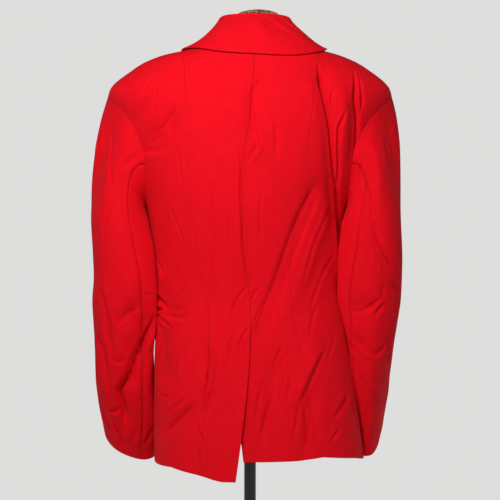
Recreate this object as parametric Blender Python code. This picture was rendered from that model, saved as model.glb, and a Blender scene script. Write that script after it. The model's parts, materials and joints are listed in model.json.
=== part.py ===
"""Double-breasted jacket on a limbless dress form with a short counter stand.

Units are metres and +Z is up. The jacket's front faces -Y and its left side is +X.
The origin is the middle of the stand's foot, on the surface that it stands on.

The cloth is a wall of even thickness on one smooth body surface. A point of that surface
is named by an angle round the body (0 is the left side, 90 the back, 180 the right side,
270 the front) and a level, which is a row of RINGS or a place between two rows.
"""

import math
from collections import namedtuple
from functools import partial

import bmesh
import bpy
import numpy as np
from mathutils import Vector

# ---------------------------------------------------------------- driving sizes
CLOTH = 0.0020          # outer cloth with its fusing
LAPEL_CLOTH = 0.0024    # lapels and collar are cut double
GAP = 0.0003            # left between any two pieces
LIFT = CLOTH + GAP      # from the inside of one layer to the inside of the next

WAIST_Z = 0.525
BREAK_Z = 0.598         # where the lapels start to turn back
VENT_TOP_Z = 0.470
OVERLAP = 0.066         # each front runs this far past the centre line

FOOT_RADIUS = 0.140
FOOT_HEIGHT = 0.012
POLE_RADIUS = 0.0095
FORM_BOTTOM_Z = 0.336

BUTTON_RADIUS = 0.0115
BUTTON_HEIGHT = 0.0042
BUTTON_COLUMN = 0.048   # each column's distance from the centre line
BUTTON_ROWS_Z = (0.566, 0.470, 0.374)

# ---------------------------------------------------------------- body surface
# side, back, front: height of the ring there. left, right: its half widths.
# behind, ahead: its depths. square: 2 is an ellipse, more is boxier.
Ring = namedtuple("Ring", "name side back front left right behind ahead square")
RINGS = (
    Ring("below_hem", 0.240, 0.240, 0.240, 0.151, 0.184, 0.134, 0.142, 2.6),
    Ring("hip", 0.350, 0.350, 0.350, 0.153, 0.171, 0.128, 0.138, 2.6),
    Ring("high_hip", 0.440, 0.440, 0.440, 0.153, 0.160, 0.113, 0.128, 2.5),
    Ring("waist", 0.525, 0.525, 0.525, 0.152, 0.147, 0.097, 0.117, 2.3),
    Ring("midriff", 0.600, 0.600, 0.600, 0.155, 0.145, 0.102, 0.132, 2.2),
    Ring("armpit", 0.670, 0.670, 0.670, 0.165, 0.152, 0.110, 0.146, 2.2),
    Ring("chest", 0.735, 0.737, 0.735, 0.182, 0.178, 0.113, 0.141, 2.2),
    Ring("blade", 0.802, 0.804, 0.796, 0.206, 0.205, 0.112, 0.120, 2.2),
    Ring("shoulder_point", 0.853, 0.850, 0.838, 0.226, 0.226, 0.103, 0.096, 2.2),
    Ring("shoulder_middle", 0.890, 0.880, 0.864, 0.186, 0.188, 0.093, 0.082, 2.2),
    Ring("shoulder_inner", 0.908, 0.900, 0.886, 0.150, 0.153, 0.085, 0.076, 2.2),
    Ring("under_collar", 0.918, 0.914, 0.903, 0.108, 0.119, 0.077, 0.072, 2.1),
    Ring("neck", 0.929, 0.925, 0.917, 0.068, 0.082, 0.069, 0.066, 2.0),
)
LEVEL_OF = {ring.name: i for i, ring in enumerate(RINGS)}
HEM_LEVEL = 0.20
ARMPIT_LEVEL = LEVEL_OF["armpit"]
POINT_LEVEL = LEVEL_OF["shoulder_point"]
NECK_LEVEL = LEVEL_OF["neck"]

# The hem's height round the body. The back hem steps at the vent, lower on the left.
Hem = namedtuple("Hem", "angle height")
HEMS = {
    "left": (Hem(-90, 0.263), Hem(0, 0.262), Hem(40, 0.265), Hem(60, 0.258), Hem(76, 0.250)),
    "right": (Hem(79, 0.278), Hem(105, 0.280), Hem(120, 0.284), Hem(150, 0.276), Hem(180, 0.264),
              Hem(270, 0.263)),
}

# Sideways place of each seam of the body at these levels.
Seam = namedtuple("Seam", "level centre_back princess_left princess_right")
SEAMS = (
    Seam(0.0, 0.022, 0.078, -0.082),
    Seam(1.0, 0.008, 0.070, -0.090),
    Seam(2.0, 0.000, 0.064, -0.078),
    Seam(3.0, 0.000, 0.066, -0.062),
    Seam(4.0, 0.010, 0.083, -0.066),
    Seam(5.0, 0.012, 0.091, -0.076),
    Seam(6.0, 0.010, 0.095, -0.086),
    Seam(7.0, 0.000, 0.098, -0.094),
    Seam(8.0, -0.004, 0.100, -0.100),
    Seam(9.0, -0.006, 0.102, -0.104),
    Seam(10.0, -0.007, 0.104, -0.108),
    Seam(11.0, -0.007, 0.104, -0.110),
    Seam(12.0, -0.007, 0.104, -0.110),
)

# Rows of the cloth grid, closer together round the armhole.
SKIRT_LEVELS = np.linspace(HEM_LEVEL, 3.0, 12)
WAIST_LEVELS = np.linspace(3.0, ARMPIT_LEVEL, 7)[1:]
ARMHOLE_LEVELS = (5.0, 5.06, 5.22, 5.55, 6.0, 6.5, 7.0, 7.5, 7.85, 8.0)
SHOULDER_LEVELS = (8.35, 8.7, 9.1, 9.5, 10.0, 10.5, 11.0, 11.5, 12.0)
LEVELS = np.array([*SKIRT_LEVELS, *WAIST_LEVELS, *ARMHOLE_LEVELS[1:], *SHOULDER_LEVELS])
ARMHOLE_BACK_ANGLE = 29.0
ARMHOLE_FRONT_ANGLE = 30.0

# Folds as troughs (depth below 0) or ridges on the side of the jacket that faces the
# viewer named in `seen`. points are (across, height): across is X from the back and
# the front, and Y from the left and the right.
Fold = namedtuple("Fold", "seen width depth points")
FOLDS = (
    Fold("back", 0.013, -0.0085, ((-0.106, 0.890), (-0.114, 0.851), (-0.124, 0.795),
                                  (-0.129, 0.727), (-0.132, 0.678), (-0.135, 0.620))),
    Fold("back", 0.011, 0.0040, ((-0.142, 0.850), (-0.146, 0.800), (-0.145, 0.740))),
    Fold("back", 0.011, -0.0055, ((-0.161, 0.866), (-0.165, 0.830), (-0.164, 0.786), (-0.160, 0.730))),
    Fold("back", 0.013, -0.0045, ((-0.108, 0.716), (-0.078, 0.643), (-0.054, 0.577),
                                  (-0.031, 0.515), (-0.010, 0.455))),
    Fold("back", 0.012, 0.0030, ((-0.126, 0.680), (-0.098, 0.610), (-0.076, 0.548), (-0.052, 0.490))),
    Fold("back", 0.012, -0.0045, ((-0.018, 0.866), (-0.002, 0.840), (-0.003, 0.789), (-0.010, 0.755))),
    Fold("back", 0.012, -0.0070, ((0.112, 0.826), (0.126, 0.790), (0.145, 0.773), (0.166, 0.752))),
    Fold("back", 0.012, -0.0035, ((0.066, 0.456), (0.060, 0.402), (0.067, 0.340))),
    Fold("back", 0.013, -0.0065, ((0.078, 0.368), (0.112, 0.332), (0.138, 0.312))),
    Fold("back", 0.012, -0.0050, ((0.140, 0.522), (0.121, 0.504), (0.096, 0.499))),
    Fold("back", 0.012, -0.0050, ((0.142, 0.492), (0.135, 0.430), (0.122, 0.375))),
    Fold("back", 0.013, 0.0050, ((-0.106, 0.468), (-0.085, 0.414), (-0.066, 0.362))),
    Fold("back", 0.012, -0.0045, ((-0.097, 0.398), (-0.089, 0.336), (-0.083, 0.275))),
    Fold("back", 0.012, -0.0040, ((-0.050, 0.460), (-0.030, 0.380), (-0.019, 0.300))),
    Fold("front", 0.014, -0.0050, ((0.058, 0.560), (0.092, 0.600), (0.122, 0.655))),
    Fold("front", 0.014, -0.0045, ((-0.060, 0.560), (-0.094, 0.602), (-0.120, 0.650))),
    Fold("front", 0.013, -0.0045, ((0.062, 0.470), (0.098, 0.430), (0.128, 0.360))),
    Fold("front", 0.013, -0.0040, ((-0.062, 0.468), (-0.092, 0.420), (-0.104, 0.330))),
    Fold("front", 0.013, -0.0050, ((0.128, 0.815), (0.143, 0.775), (0.152, 0.728))),
    Fold("front", 0.013, -0.0050, ((-0.126, 0.812), (-0.140, 0.770), (-0.148, 0.720))),
    Fold("left", 0.014, -0.0040, ((0.020, 0.500), (0.008, 0.420), (0.016, 0.330))),
    Fold("right", 0.014, -0.0040, ((-0.016, 0.480), (-0.004, 0.400), (-0.014, 0.310))),
)
# Which way each viewer looks from, and which coordinate runs across the view.
VIEWERS = {"back": ((0, 1, 0), 0), "front": ((0, -1, 0), 0),
           "left": ((1, 0, 0), 1), "right": ((-1, 0, 0), 1)}
FADE = 0.045            # a fold runs out over this length at each end


def smoothstep(value):
    value = np.clip(value, 0, 1)
    return value * value * (3 - 2 * value)


def rows_at(table, place):
    """Smooth values between the rows of a table, at a row number that may be a fraction."""
    table = np.asarray(table, float)
    last = len(table) - 1
    place = np.clip(np.asarray(place, float), 0, last)
    i = np.minimum(place.astype(int), last - 1)
    t = (place - i)[..., None]
    before, here = table[np.maximum(i - 1, 0)], table[i]
    after, beyond = table[i + 1], table[np.minimum(i + 2, last)]
    out, into = (after - before) / 2, (beyond - here) / 2
    return ((2 * t**3 - 3 * t**2 + 1) * here + (t**3 - 2 * t**2 + t) * out
            + (3 * t**2 - 2 * t**3) * after + (t**3 - t**2) * into)


FINE_LEVELS = np.linspace(0, 3, 301)
FINE_HEIGHTS = rows_at([[ring.side] for ring in RINGS], FINE_LEVELS)[:, 0]


def fit_to_hem(angle, level, half):
    """Spreads the rows below the waist so that the lowest one follows the hem."""
    table = HEMS[half]
    hem = np.interp(angle, [point.angle for point in table], [point.height for point in table])
    level = np.asarray(level, float)
    low = np.interp(HEM_LEVEL, FINE_LEVELS, FINE_HEIGHTS)
    height = np.interp(level, FINE_LEVELS, FINE_HEIGHTS)
    height = hem + (height - low) * (WAIST_Z - hem) / (WAIST_Z - low)
    return np.where(level < 3, np.interp(height, FINE_HEIGHTS, FINE_LEVELS), level)


def plain_body(angle, level, half="left"):
    """Points of the body surface with no folds. The half tells which hem it runs down to."""
    level = fit_to_hem(angle, level, half)
    side, back, front, left, right, behind, ahead, square = np.moveaxis(
        rows_at([ring[1:] for ring in RINGS], level), -1, 0)
    c, s = np.cos(np.radians(angle)), np.sin(np.radians(angle))
    x = (left - right) / 2 + (left + right) / 2 * np.sign(c) * np.abs(c) ** (2 / square)
    y = np.where(s > 0, behind, ahead) * np.sign(s) * np.abs(s) ** (2 / square)
    z = side + (np.where(s > 0, back, front) - side) * s**2
    return np.stack([x, y, z], -1)


def normals_of(surface, angle, level, step_angle=0.4, step_level=0.02):
    """Outward unit normals of a surface given as a function of angle and level."""
    high, low = np.minimum(level + step_level, NECK_LEVEL), np.maximum(level - step_level, 0)
    around = surface(angle + step_angle, level) - surface(angle - step_angle, level)
    up = surface(angle, high) - surface(angle, low)
    normal = np.cross(around, up)
    return normal / np.linalg.norm(normal, axis=-1, keepdims=True)


def path_distance(across, height, points):
    """Distance to a path through the points, and how far along it the nearest place is."""
    best = np.full(across.shape, np.inf)
    along = np.zeros(across.shape)
    walked = 0.0
    for (ax, az), (bx, bz) in zip(points, points[1:]):
        dx, dz = bx - ax, bz - az
        length = math.hypot(dx, dz)
        t = np.clip(((across - ax) * dx + (height - az) * dz) / length**2, 0, 1)
        distance = np.hypot(across - ax - t * dx, height - az - t * dz)
        nearer = distance < best
        best = np.where(nearer, distance, best)
        along = np.where(nearer, walked + t * length, along)
        walked += length
    return best, along, walked


def fold_depth(point, normal, folds):
    """How far the folds move a point along its normal."""
    moved = np.zeros(point.shape[:-1])
    for fold in folds:
        look, axis = VIEWERS[fold.seen]
        faces = smoothstep((normal @ np.array(look, float)) / 0.5)
        distance, along, length = path_distance(point[..., axis], point[..., 2], fold.points)
        ends = smoothstep(np.minimum(along, length - along) / FADE + 0.25)
        moved += fold.depth * faces * ends * np.exp(-((distance / fold.width) ** 2))
    return moved


def body(angle, level, half="left"):
    """Points of the inside of the cloth, folds included."""
    angle, level = np.broadcast_arrays(np.asarray(angle, float), np.asarray(level, float))
    point = plain_body(angle, level, half)
    normal = normals_of(partial(plain_body, half=half), angle, level)
    # The cloth lies flat where it rests on the shoulders and where the collar covers it.
    loose = smoothstep((10.2 - level) / 1.2)
    return point + normal * (fold_depth(point, normal, FOLDS) * loose)[..., None]


def angle_at_x(x, level, front=False):
    """Angle of the body point at a sideways place, on the back or the front."""
    _, _, _, left, right, _, _, square = np.moveaxis(
        rows_at([ring[1:] for ring in RINGS], level), -1, 0)
    share = np.clip((x - (left - right) / 2) / ((left + right) / 2), -1, 1)
    angle = np.degrees(np.arccos(np.sign(share) * np.abs(share) ** (square / 2)))
    return 360 - angle if front else angle


def armhole_angle(level, widest):
    """How far the armhole reaches from the side seam at a level."""
    share = np.clip((level - ARMPIT_LEVEL) / (POINT_LEVEL - ARMPIT_LEVEL), 0, 1)
    return widest * np.sin(np.pi * share) ** 0.62


def across_table(name, level):
    return rows_at([[getattr(seam, name)] for seam in SEAMS], level)[..., 0]


def seam_angle(name, level, half, reach=0.0):
    """Angle of a back seam, or of a line that runs beside it at a sideways reach."""
    angle = angle_at_x(across_table(name, level), level)
    for _ in range(4):
        fitted = fit_to_hem(angle, level, half)
        angle = angle_at_x(across_table(name, fitted) + reach, fitted)
    return angle


# The line where each lapel turns back, and below it the straight front edge.
RollPoint = namedtuple("RollPoint", "height left_front right_front")
ROLL = (
    RollPoint(0.200, -OVERLAP, OVERLAP),
    RollPoint(BREAK_Z, -OVERLAP, OVERLAP),
    RollPoint(0.891, 0.0660, -0.0800),
    RollPoint(0.935, 0.0655, -0.0795),
)
LAPEL_START = {"left": 0.10, "right": 0.0}      # the left one starts under the right front
# Places on the front, as (across, height): the peak and the outer edge.
PEAK = {"left": (0.150, 0.842), "right": (-0.163, 0.842)}
BELLY = {"left": (0.088, 0.742), "right": (-0.094, 0.742)}
RIGHT_LIFT = 0.0072     # the right front lies over the left front and its lapel


def front_edge_x(side, height):
    return np.interp(height, [r.height for r in ROLL], [getattr(r, side + "_front") for r in ROLL])


def front_edge_angle(side, level):
    """Angle of a front's free edge: the overlap below the break, the roll line above."""
    level = np.asarray(level, float)
    height = rows_at([[ring.front] for ring in RINGS], level)[..., 0]
    angle = 270.0 - 360 * (side == "left")
    for _ in range(8):
        x = front_edge_x(side, height)
        angle = angle_at_x(x, fit_to_hem(angle, level, side), front=True)
        angle = angle - 360 if side == "left" else angle
        height = plain_body(angle, level, side)[..., 2]
    return angle


def front_place(side, x, height):
    """Angle and level of the front's point at a sideways place and a height."""
    x, height = np.asarray(x, float), np.asarray(height, float)
    low, high = np.zeros(x.shape), np.full(x.shape, float(NECK_LEVEL))
    angle = 270.0 - 360 * (side == "left")
    for _ in range(26):
        level = (low + high) / 2
        angle = angle_at_x(x, fit_to_hem(angle, level, side), front=True)
        angle = angle - 360 if side == "left" else angle
        above = plain_body(angle, level, side)[..., 2] > height
        high = np.where(above, level, high)
        low = np.where(above, low, level)
    return angle, level


def right_front(angle, level):
    """The right front, lifted where it laps over the left one."""
    point = body(angle, level, "right")
    normal = normals_of(partial(plain_body, half="right"), angle, level)
    x, height = point[..., 0], point[..., 2]
    reach = smoothstep((x - front_edge_x("left", height) + 0.046) / 0.032)
    return point + normal * (reach * RIGHT_LIFT)[..., None]


def left_back(angle, level):
    """The left back, whose free edge stands off a little over the vent."""
    point = body(angle, level)
    normal = normals_of(plain_body, angle, level)
    below = smoothstep((VENT_TOP_Z + 0.034 - point[..., 2]) / 0.028)
    swing = smoothstep((VENT_TOP_Z - point[..., 2]) / (VENT_TOP_Z - 0.25))
    seam = across_table("centre_back", fit_to_hem(angle, level, "left"))
    near = 1 - smoothstep((point[..., 0] - seam - 0.022) / 0.034)
    return point + normal * (below * near * (LIFT + 0.0009 + 0.007 * swing))[..., None]


FRONTS = {"left": body, "right": right_front}
BACKS = {"left": left_back, "right": partial(body, half="right")}


# ---------------------------------------------------------------- scene and materials
Finish = namedtuple("Finish", "colour roughness metallic")
FINISHES = {
    "jacket_cloth": Finish((0.66, 0.012, 0.018), 0.78, 0.0),
    "button_red": Finish((0.36, 0.010, 0.014), 0.32, 0.0),
    "form_cover": Finish((0.20, 0.12, 0.06), 0.85, 0.0),
    "stand_black": Finish((0.018, 0.018, 0.020), 0.42, 0.0),
}


def clear_scene():
    for thing in list(bpy.data.objects):
        bpy.data.objects.remove(thing, do_unlink=True)


def collection(name):
    made = bpy.data.collections.new(name)
    bpy.context.scene.collection.children.link(made)
    return made


def finish(name):
    found = bpy.data.materials.get(name)
    if found is None:
        found = bpy.data.materials.new(name)
        found.use_nodes = True
        shader = found.node_tree.nodes["Principled BSDF"]
        shader.inputs["Base Color"].default_value = (*FINISHES[name].colour, 1)
        shader.inputs["Roughness"].default_value = FINISHES[name].roughness
        shader.inputs["Metallic"].default_value = FINISHES[name].metallic
    return found


def add_object(name, builder, material, parts):
    """Turns a finished bmesh into one named sub-part."""
    bmesh.ops.recalc_face_normals(builder, faces=builder.faces)
    mesh = bpy.data.meshes.new(name)
    builder.to_mesh(mesh)
    builder.free()
    made = bpy.data.objects.new(name, mesh)
    mesh.materials.append(finish(material))
    mesh.shade_smooth()
    mesh.set_sharp_from_angle(angle=math.radians(40))
    parts.objects.link(made)
    return made


# ---------------------------------------------------------------- cloth walls
def unit(vector):
    return vector / np.maximum(np.linalg.norm(vector, axis=-1, keepdims=True), 1e-12)


def ease_edges(points, sides, gap=GAP / 2):
    """Draws the named sides of a grid back by half a seam gap, towards its inside."""
    eased = points.copy()
    steps = {"left": ((slice(None), 0), (slice(None), 1)),
             "right": ((slice(None), -1), (slice(None), -2)),
             "bottom": ((0, slice(None)), (1, slice(None))),
             "top": ((-1, slice(None)), (-2, slice(None)))}
    for side in sides:
        edge, inner = steps[side]
        eased[edge] += unit(points[inner] - points[edge]) * gap
    return eased


def cloth_wall(name, inside, through, material, parts):
    """A wall between a grid of inside points and the same grid moved through the cloth."""
    rows, columns = inside.shape[:2]
    builder = bmesh.new()
    inner, outer = ([[builder.verts.new(point) for point in row] for row in layer]
                    for layer in (inside, inside + through))
    for row in range(rows - 1):
        for column in range(columns - 1):
            corners = ((row, column), (row, column + 1), (row + 1, column + 1), (row + 1, column))
            builder.faces.new([outer[r][c] for r, c in corners])
            builder.faces.new([inner[r][c] for r, c in reversed(corners)])
    rim = [(0, c) for c in range(columns)]
    rim += [(r, columns - 1) for r in range(1, rows)]
    rim += [(rows - 1, c) for c in range(columns - 2, -1, -1)]
    rim += [(r, 0) for r in range(rows - 2, 0, -1)]
    for (ra, ca), (rb, cb) in zip(rim, rim[1:] + rim[:1]):
        builder.faces.new([inner[ra][ca], inner[rb][cb], outer[rb][cb], outer[ra][ca]])
    return add_object(name, builder, material, parts)


def even_grid(starts, ends, levels, columns):
    """Angles and levels of a panel from one seam to another, spread evenly on the cloth."""
    share = np.linspace(0, 1, 61)
    angles = starts[:, None] + (ends - starts)[:, None] * share
    points = plain_body(angles, np.broadcast_to(levels[:, None], angles.shape))
    steps = np.linalg.norm(np.diff(points, axis=1), axis=2)
    walked = np.concatenate([np.zeros((len(levels), 1)), np.cumsum(steps, axis=1)], axis=1)
    spread = np.empty((len(levels), columns + 1))
    for row, length in enumerate(walked):
        spread[row] = np.interp(np.linspace(0, length[-1], columns + 1), length, angles[row])
    return spread, np.broadcast_to(levels[:, None], spread.shape)


def seam_frame(angle, level):
    """At a point of the armhole seam: the point, the way through both walls at their
    shared rim, the way across the seam, and the way the sleeve leaves."""
    angle, level = np.asarray(float(angle)), np.asarray(float(level))
    point = body(angle, level)
    normal = normals_of(body, angle, level)
    away = np.array([math.copysign(0.205, point[0]), 0.0, 0.765]) - point
    away = unit(away - normal * (away @ normal))
    share = float((level - ARMPIT_LEVEL) / (POINT_LEVEL - ARMPIT_LEVEL))
    turn = math.radians(8 + 84 * (1 - share) ** 1.2)
    leaving = away * math.cos(turn) + normal * math.sin(turn)
    sleeve_normal = normal * math.cos(turn) - away * math.sin(turn)
    through = (normal + sleeve_normal) / (1 + math.cos(turn)) * CLOTH
    across = unit(away * math.cos(turn / 2) + normal * math.sin(turn / 2))
    return point, through, across, leaving


def panel(name, surface, starts, ends, levels, columns, armhole_side, parts):
    """One panel of the body. armhole_side is the column next to the sleeve, or None."""
    angles, flat = even_grid(starts, ends, levels, columns)
    points = surface(angles, flat)
    through = normals_of(surface, angles, flat) * CLOTH
    points = ease_edges(points, ("left", "right"))
    if armhole_side is not None:
        for row, level in enumerate(levels):
            if ARMPIT_LEVEL <= level <= POINT_LEVEL:
                _, mitre, across, _ = seam_frame(angles[row, armhole_side], level)
                through[row, armhole_side] = mitre
                points[row, armhole_side] -= across * GAP / 2
    return cloth_wall(name, points, through, "jacket_cloth", parts)


# ---------------------------------------------------------------- jacket panels
PANEL_COLUMNS = {"back_left": 8, "back_right": 9, "side_back_left": 6, "side_back_right": 6,
                 "front_left": 10, "front_right": 11}


def back_panels(parts):
    """A back and a side back on each side, with a princess seam up to the shoulder."""
    for side, sign, rim in (("left", 1, 0.0), ("right", -1, 180.0)):
        middle = seam_angle("centre_back", LEVELS, side)
        princess = seam_angle("princess_" + side, LEVELS, side)
        arm = rim + sign * armhole_angle(LEVELS, ARMHOLE_BACK_ANGLE)
        middle = underlap_angle(middle) if side == "right" else middle
        panel("back_" + side, BACKS[side], middle, princess, LEVELS,
              PANEL_COLUMNS["back_" + side], None, parts)
        wide = np.abs(princess - arm) > 0.9
        panel("side_back_" + side, partial(body, half=side), princess[wide], arm[wide],
              LEVELS[wide], PANEL_COLUMNS["side_back_" + side], -1, parts)


def underlap_angle(middle):
    """Edge of the right back: the seam above the vent, and an underlap beneath it."""
    height = plain_body(middle, LEVELS, "right")[:, 2]
    below = smoothstep((VENT_TOP_Z + 0.004 - height) / 0.012)
    reach = np.interp(height, (0.270, 0.330, VENT_TOP_Z), (-0.009, 0.006, 0.022)) * below
    return seam_angle("centre_back", LEVELS, "right", reach)


def front_panels(parts):
    for side, sign, rim in (("left", 1, 0.0), ("right", -1, 180.0)):
        arm = rim - sign * armhole_angle(LEVELS, ARMHOLE_FRONT_ANGLE)
        edge = front_edge_angle(side, LEVELS)
        panel("front_" + side, FRONTS[side], arm, edge, LEVELS,
              PANEL_COLUMNS["front_" + side], 0, parts)


def leaf_wall(name, middle, first_normal, parts, width=LAPEL_CLOTH):
    """A turned-back leaf of cloth, given the middle of its wall as a grid of points
    whose first column lies beside the edge that it is turned back from."""
    along = np.gradient(middle, axis=0)
    across = np.gradient(middle, axis=1)
    normal = unit(np.cross(along, across))
    facing = np.sum(normal[:, -1] * (middle[:, -1] - middle[:, -1] * [1, 0, 1]), axis=-1)
    normal *= np.sign(facing.sum())
    normal[:, 0] = first_normal
    return cloth_wall(name, middle - normal * width / 2, normal * width, "jacket_cloth", parts)


LAPEL_LEVELS = np.array([4.0, 4.334, 4.667, 5.0, 5.22, 5.55, 6.0, 6.5, 7.0, 7.5, 8.0, 8.35,
                         8.7, 9.1, 9.5, 10.0])


def panel_edge(side, level):
    """A front's free edge: point, normal, and the way off the cloth."""
    surface = FRONTS[side]
    angle = front_edge_angle(side, level)
    point = surface(angle, level)
    normal = normals_of(surface, angle, level)
    ahead = surface(front_edge_angle(side, level + 0.05), level + 0.05)
    behind = surface(front_edge_angle(side, level - 0.05), level - 0.05)
    off = unit(np.cross(unit(ahead - behind), normal))
    inward = surface(angle + (2 if side == "left" else -2), level) - point
    off *= -np.sign(np.sum(off * inward, axis=-1, keepdims=True))
    return point, normal, off


def lapel_outline(side, share):
    """Outer edge of the lapel, as (across, height), from the break to the peak."""
    start = np.array([OVERLAP * (-1 if side == "left" else 1), BREAK_Z])
    belly, peak = np.array(BELLY[side]), np.array(PEAK[side])
    share = share[:, None]
    pull = 2 * belly - (start + peak) / 2
    return (1 - share) ** 2 * start + 2 * share * (1 - share) * pull + share**2 * peak


def lapels(parts):
    for side in ("left", "right"):
        levels = LAPEL_LEVELS[LAPEL_LEVELS >= 4.0 + 6 * LAPEL_START[side]]
        edge, normal, off = panel_edge(side, levels)
        top = edge[-1]
        share = (edge[:, 2] - BREAK_Z) / (top[2] - BREAK_Z)
        outer = lapel_outline(side, np.clip(share, 0.035, 1))
        roll = edge[:, [0, 2]]
        across = np.array([0.05, 0.22, 0.42, 0.62, 0.82, 1.0])
        flat = roll[:, None] + (outer - roll)[:, None] * across[None, :, None]
        # The top row dips to the notch and rises again to the peak.
        corner = COLLAR[0] if side == "left" else COLLAR[-1]
        notch = plain_body(corner.angle, corner.level)[[0, 2]]
        reach = np.linalg.norm(notch - roll[-1])
        reach /= reach + np.linalg.norm(outer[-1] - notch)
        top_row = np.stack([np.interp(across, [0, reach, 1], [roll[-1][i], notch[i], outer[-1][i]])
                            for i in (0, 1)], axis=-1)
        flat += (share[:, None, None] ** 6) * (top_row - flat[-1])[None]
        angles, at_levels = front_place(side, flat[..., 0], flat[..., 1])
        lift = LIFT + LAPEL_CLOTH / 2 + 0.0011 + 0.0028 * np.sin(np.pi * across)
        if side == "left":
            lift = LIFT + LAPEL_CLOTH / 2 + 0.0004 + np.outer(smoothstep((share - 0.5) / 0.2),
                                                             0.0007 + 0.0028 * np.sin(np.pi * across))
        else:
            lift = np.broadcast_to(lift, angles.shape)
        base = flat_front(side, angles, at_levels)
        leaf = base[0] + base[1] * lift[..., None]
        step = GAP + LAPEL_CLOTH / 2
        first = edge + off * step + normal * 0.0003
        second = edge + off * step * 0.8 + normal * (CLOTH + GAP + 0.0009)
        middle = np.concatenate([first[:, None], second[:, None], leaf], axis=1)
        if len(middle) > 1:
            middle[-1] += unit(middle[-2] - middle[-1]) * 0.0008
        leaf_wall("lapel_" + side, middle, off, parts)


def flat_front(side, angles, levels):
    """The front without its folds, with its lift: points and normals."""
    point = plain_body(angles, levels, side)
    normal = normals_of(partial(plain_body, half=side), angles, levels)
    if side == "right":
        reach = smoothstep((point[..., 0] - front_edge_x("left", point[..., 2]) + 0.046) / 0.032)
        point = point + normal * (reach * RIGHT_LIFT)[..., None]
    return point, normal


# ---------------------------------------------------------------- collar
# turn: place along the neckline, -52 at the left lapel, 90 at the back, 232 at the right.
# height, lean: the fold line above the neckline and in from it.
# angle, level: where the outer edge lies on the body.
Collar = namedtuple("Collar", "turn height lean angle level")
COLLAR = (
    Collar(-52, 0.0048, 0.0005, -58, 9.05),
    Collar(-42, 0.0085, 0.0030, -46, 9.55),
    Collar(-28, 0.0180, 0.0080, -29, 10.15),
    Collar(-12, 0.0300, 0.0150, -11, 10.72),
    Collar(0, 0.0370, 0.0200, 0, 10.95),
    Collar(22, 0.0410, 0.0170, 22, 10.92),
    Collar(45, 0.0430, 0.0125, 45, 10.78),
    Collar(70, 0.0440, 0.0115, 70, 10.35),
    Collar(90, 0.0445, 0.0110, 90, 10.15),
    Collar(112, 0.0440, 0.0110, 113, 9.95),
    Collar(138, 0.0420, 0.0110, 140, 10.30),
    Collar(160, 0.0400, 0.0150, 161, 10.75),
    Collar(180, 0.0370, 0.0180, 180, 10.98),
    Collar(192, 0.0300, 0.0150, 191, 10.72),
    Collar(208, 0.0180, 0.0075, 209, 10.15),
    Collar(222, 0.0085, 0.0030, 226, 9.55),
    Collar(232, 0.0048, 0.0005, 238, 9.05),
)
COLLAR_TURNS = np.array([-52, -42.5, -33, -23.5, -14, -5, 6, 18, 31, 45, 60, 75, 90, 105, 120, 135,
                         149, 162, 174, 185, 194, 203.5, 213, 222.5, 232])
CollarFold = namedtuple("CollarFold", "turn share width depth")
COLLAR_FOLDS = (CollarFold(112, 0.45, 7, -0.0030), CollarFold(132, 0.5, 6, -0.0028),
                CollarFold(150, 0.55, 6, 0.0020), CollarFold(60, 0.5, 9, 0.0010))


def neckline(turns):
    """The neck edge of the body: up the left front, round the neck, down the right."""
    points, normals, offs = [], [], []
    for turn in turns:
        if turn < -14 or turn > 194:
            side = "left" if turn < 0 else "right"
            past = -14 - turn if side == "left" else turn - 194
            point, normal, off = panel_edge(side, np.array(12 - past / 19))
        else:
            angle, level = np.array(float(turn)), np.array(12.0)
            point, normal = body(angle, level), normals_of(body, angle, level)
            along = unit(body(angle + 1, level) - body(angle - 1, level))
            off = unit(np.cross(normal, along))
            off *= np.sign(off[2])
        points.append(point)
        normals.append(normal)
        offs.append(off)
    return np.array(points), np.array(normals), np.array(offs)


def collar(parts):
    table = np.array(COLLAR)
    turns = COLLAR_TURNS
    place = np.interp(turns, table[:, 0], np.arange(len(table)))
    height, lean, angle, level = np.moveaxis(rows_at(table[:, 1:], place), -1, 0)
    edge, normal, off = neckline(turns)
    low = body(angle, level)
    low_normal = normals_of(plain_body, angle, level)
    low = low + low_normal * (LIFT + LAPEL_CLOTH / 2 + 0.0017)
    axis = np.array([-0.009, 0.0])
    outward = np.zeros_like(edge)
    outward[:, :2] = unit(edge[:, :2] - axis)
    level_share = smoothstep((np.minimum(turns + 46, 226 - turns)) / 30)[:, None]
    outward = unit(outward * level_share - off * (1 - level_share))
    upward = unit(np.array([0, 0, 1.0]) * level_share + normal * (1 - level_share))
    radius = LAPEL_CLOTH / 2 + 0.0009
    centre = edge + upward * height[:, None] - outward * lean[:, None]
    start = edge + off * (0.0008 + LAPEL_CLOTH / 2) + normal * 0.0002
    rows = [start]
    inner = centre - outward * radius
    rows.append(start + (inner - start) * 0.5)
    rows.append(inner)
    rows.append(centre + upward * radius)
    outer = centre + outward * radius
    rows.append(outer)
    for share in (0.22, 0.48, 0.74, 1.0):
        # The fall swells a little at the back and hollows above its edge at the sides.
        swell = 0.004 - 0.011 * np.abs(np.cos(np.radians(turns)))[:, None] ** 3
        bulge = (outward + upward) * swell * math.sin(math.pi * share) * level_share
        wrinkle = sum(f.depth * np.exp(-((turns - f.turn - 26 * (share - 0.5)) / f.width) ** 2
                                       - ((share - f.share) / 0.42) ** 2) for f in COLLAR_FOLDS)
        rows.append(outer + (low - outer) * share + bulge + outward * wrinkle[:, None])
    middle = np.stack(rows, axis=1)
    along, across = np.gradient(middle, axis=0), np.gradient(middle, axis=1)
    facing = unit(np.cross(across, along))
    facing *= np.sign(np.sum(facing[12, -2] * outward[12]))
    facing[:, 0] = off
    middle[0] += unit(middle[1] - middle[0]) * 0.0006
    middle[-1] += unit(middle[-2] - middle[-1]) * 0.0006
    cloth_wall("collar", middle - facing * LAPEL_CLOTH / 2, facing * LAPEL_CLOTH,
               "jacket_cloth", parts)


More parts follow.
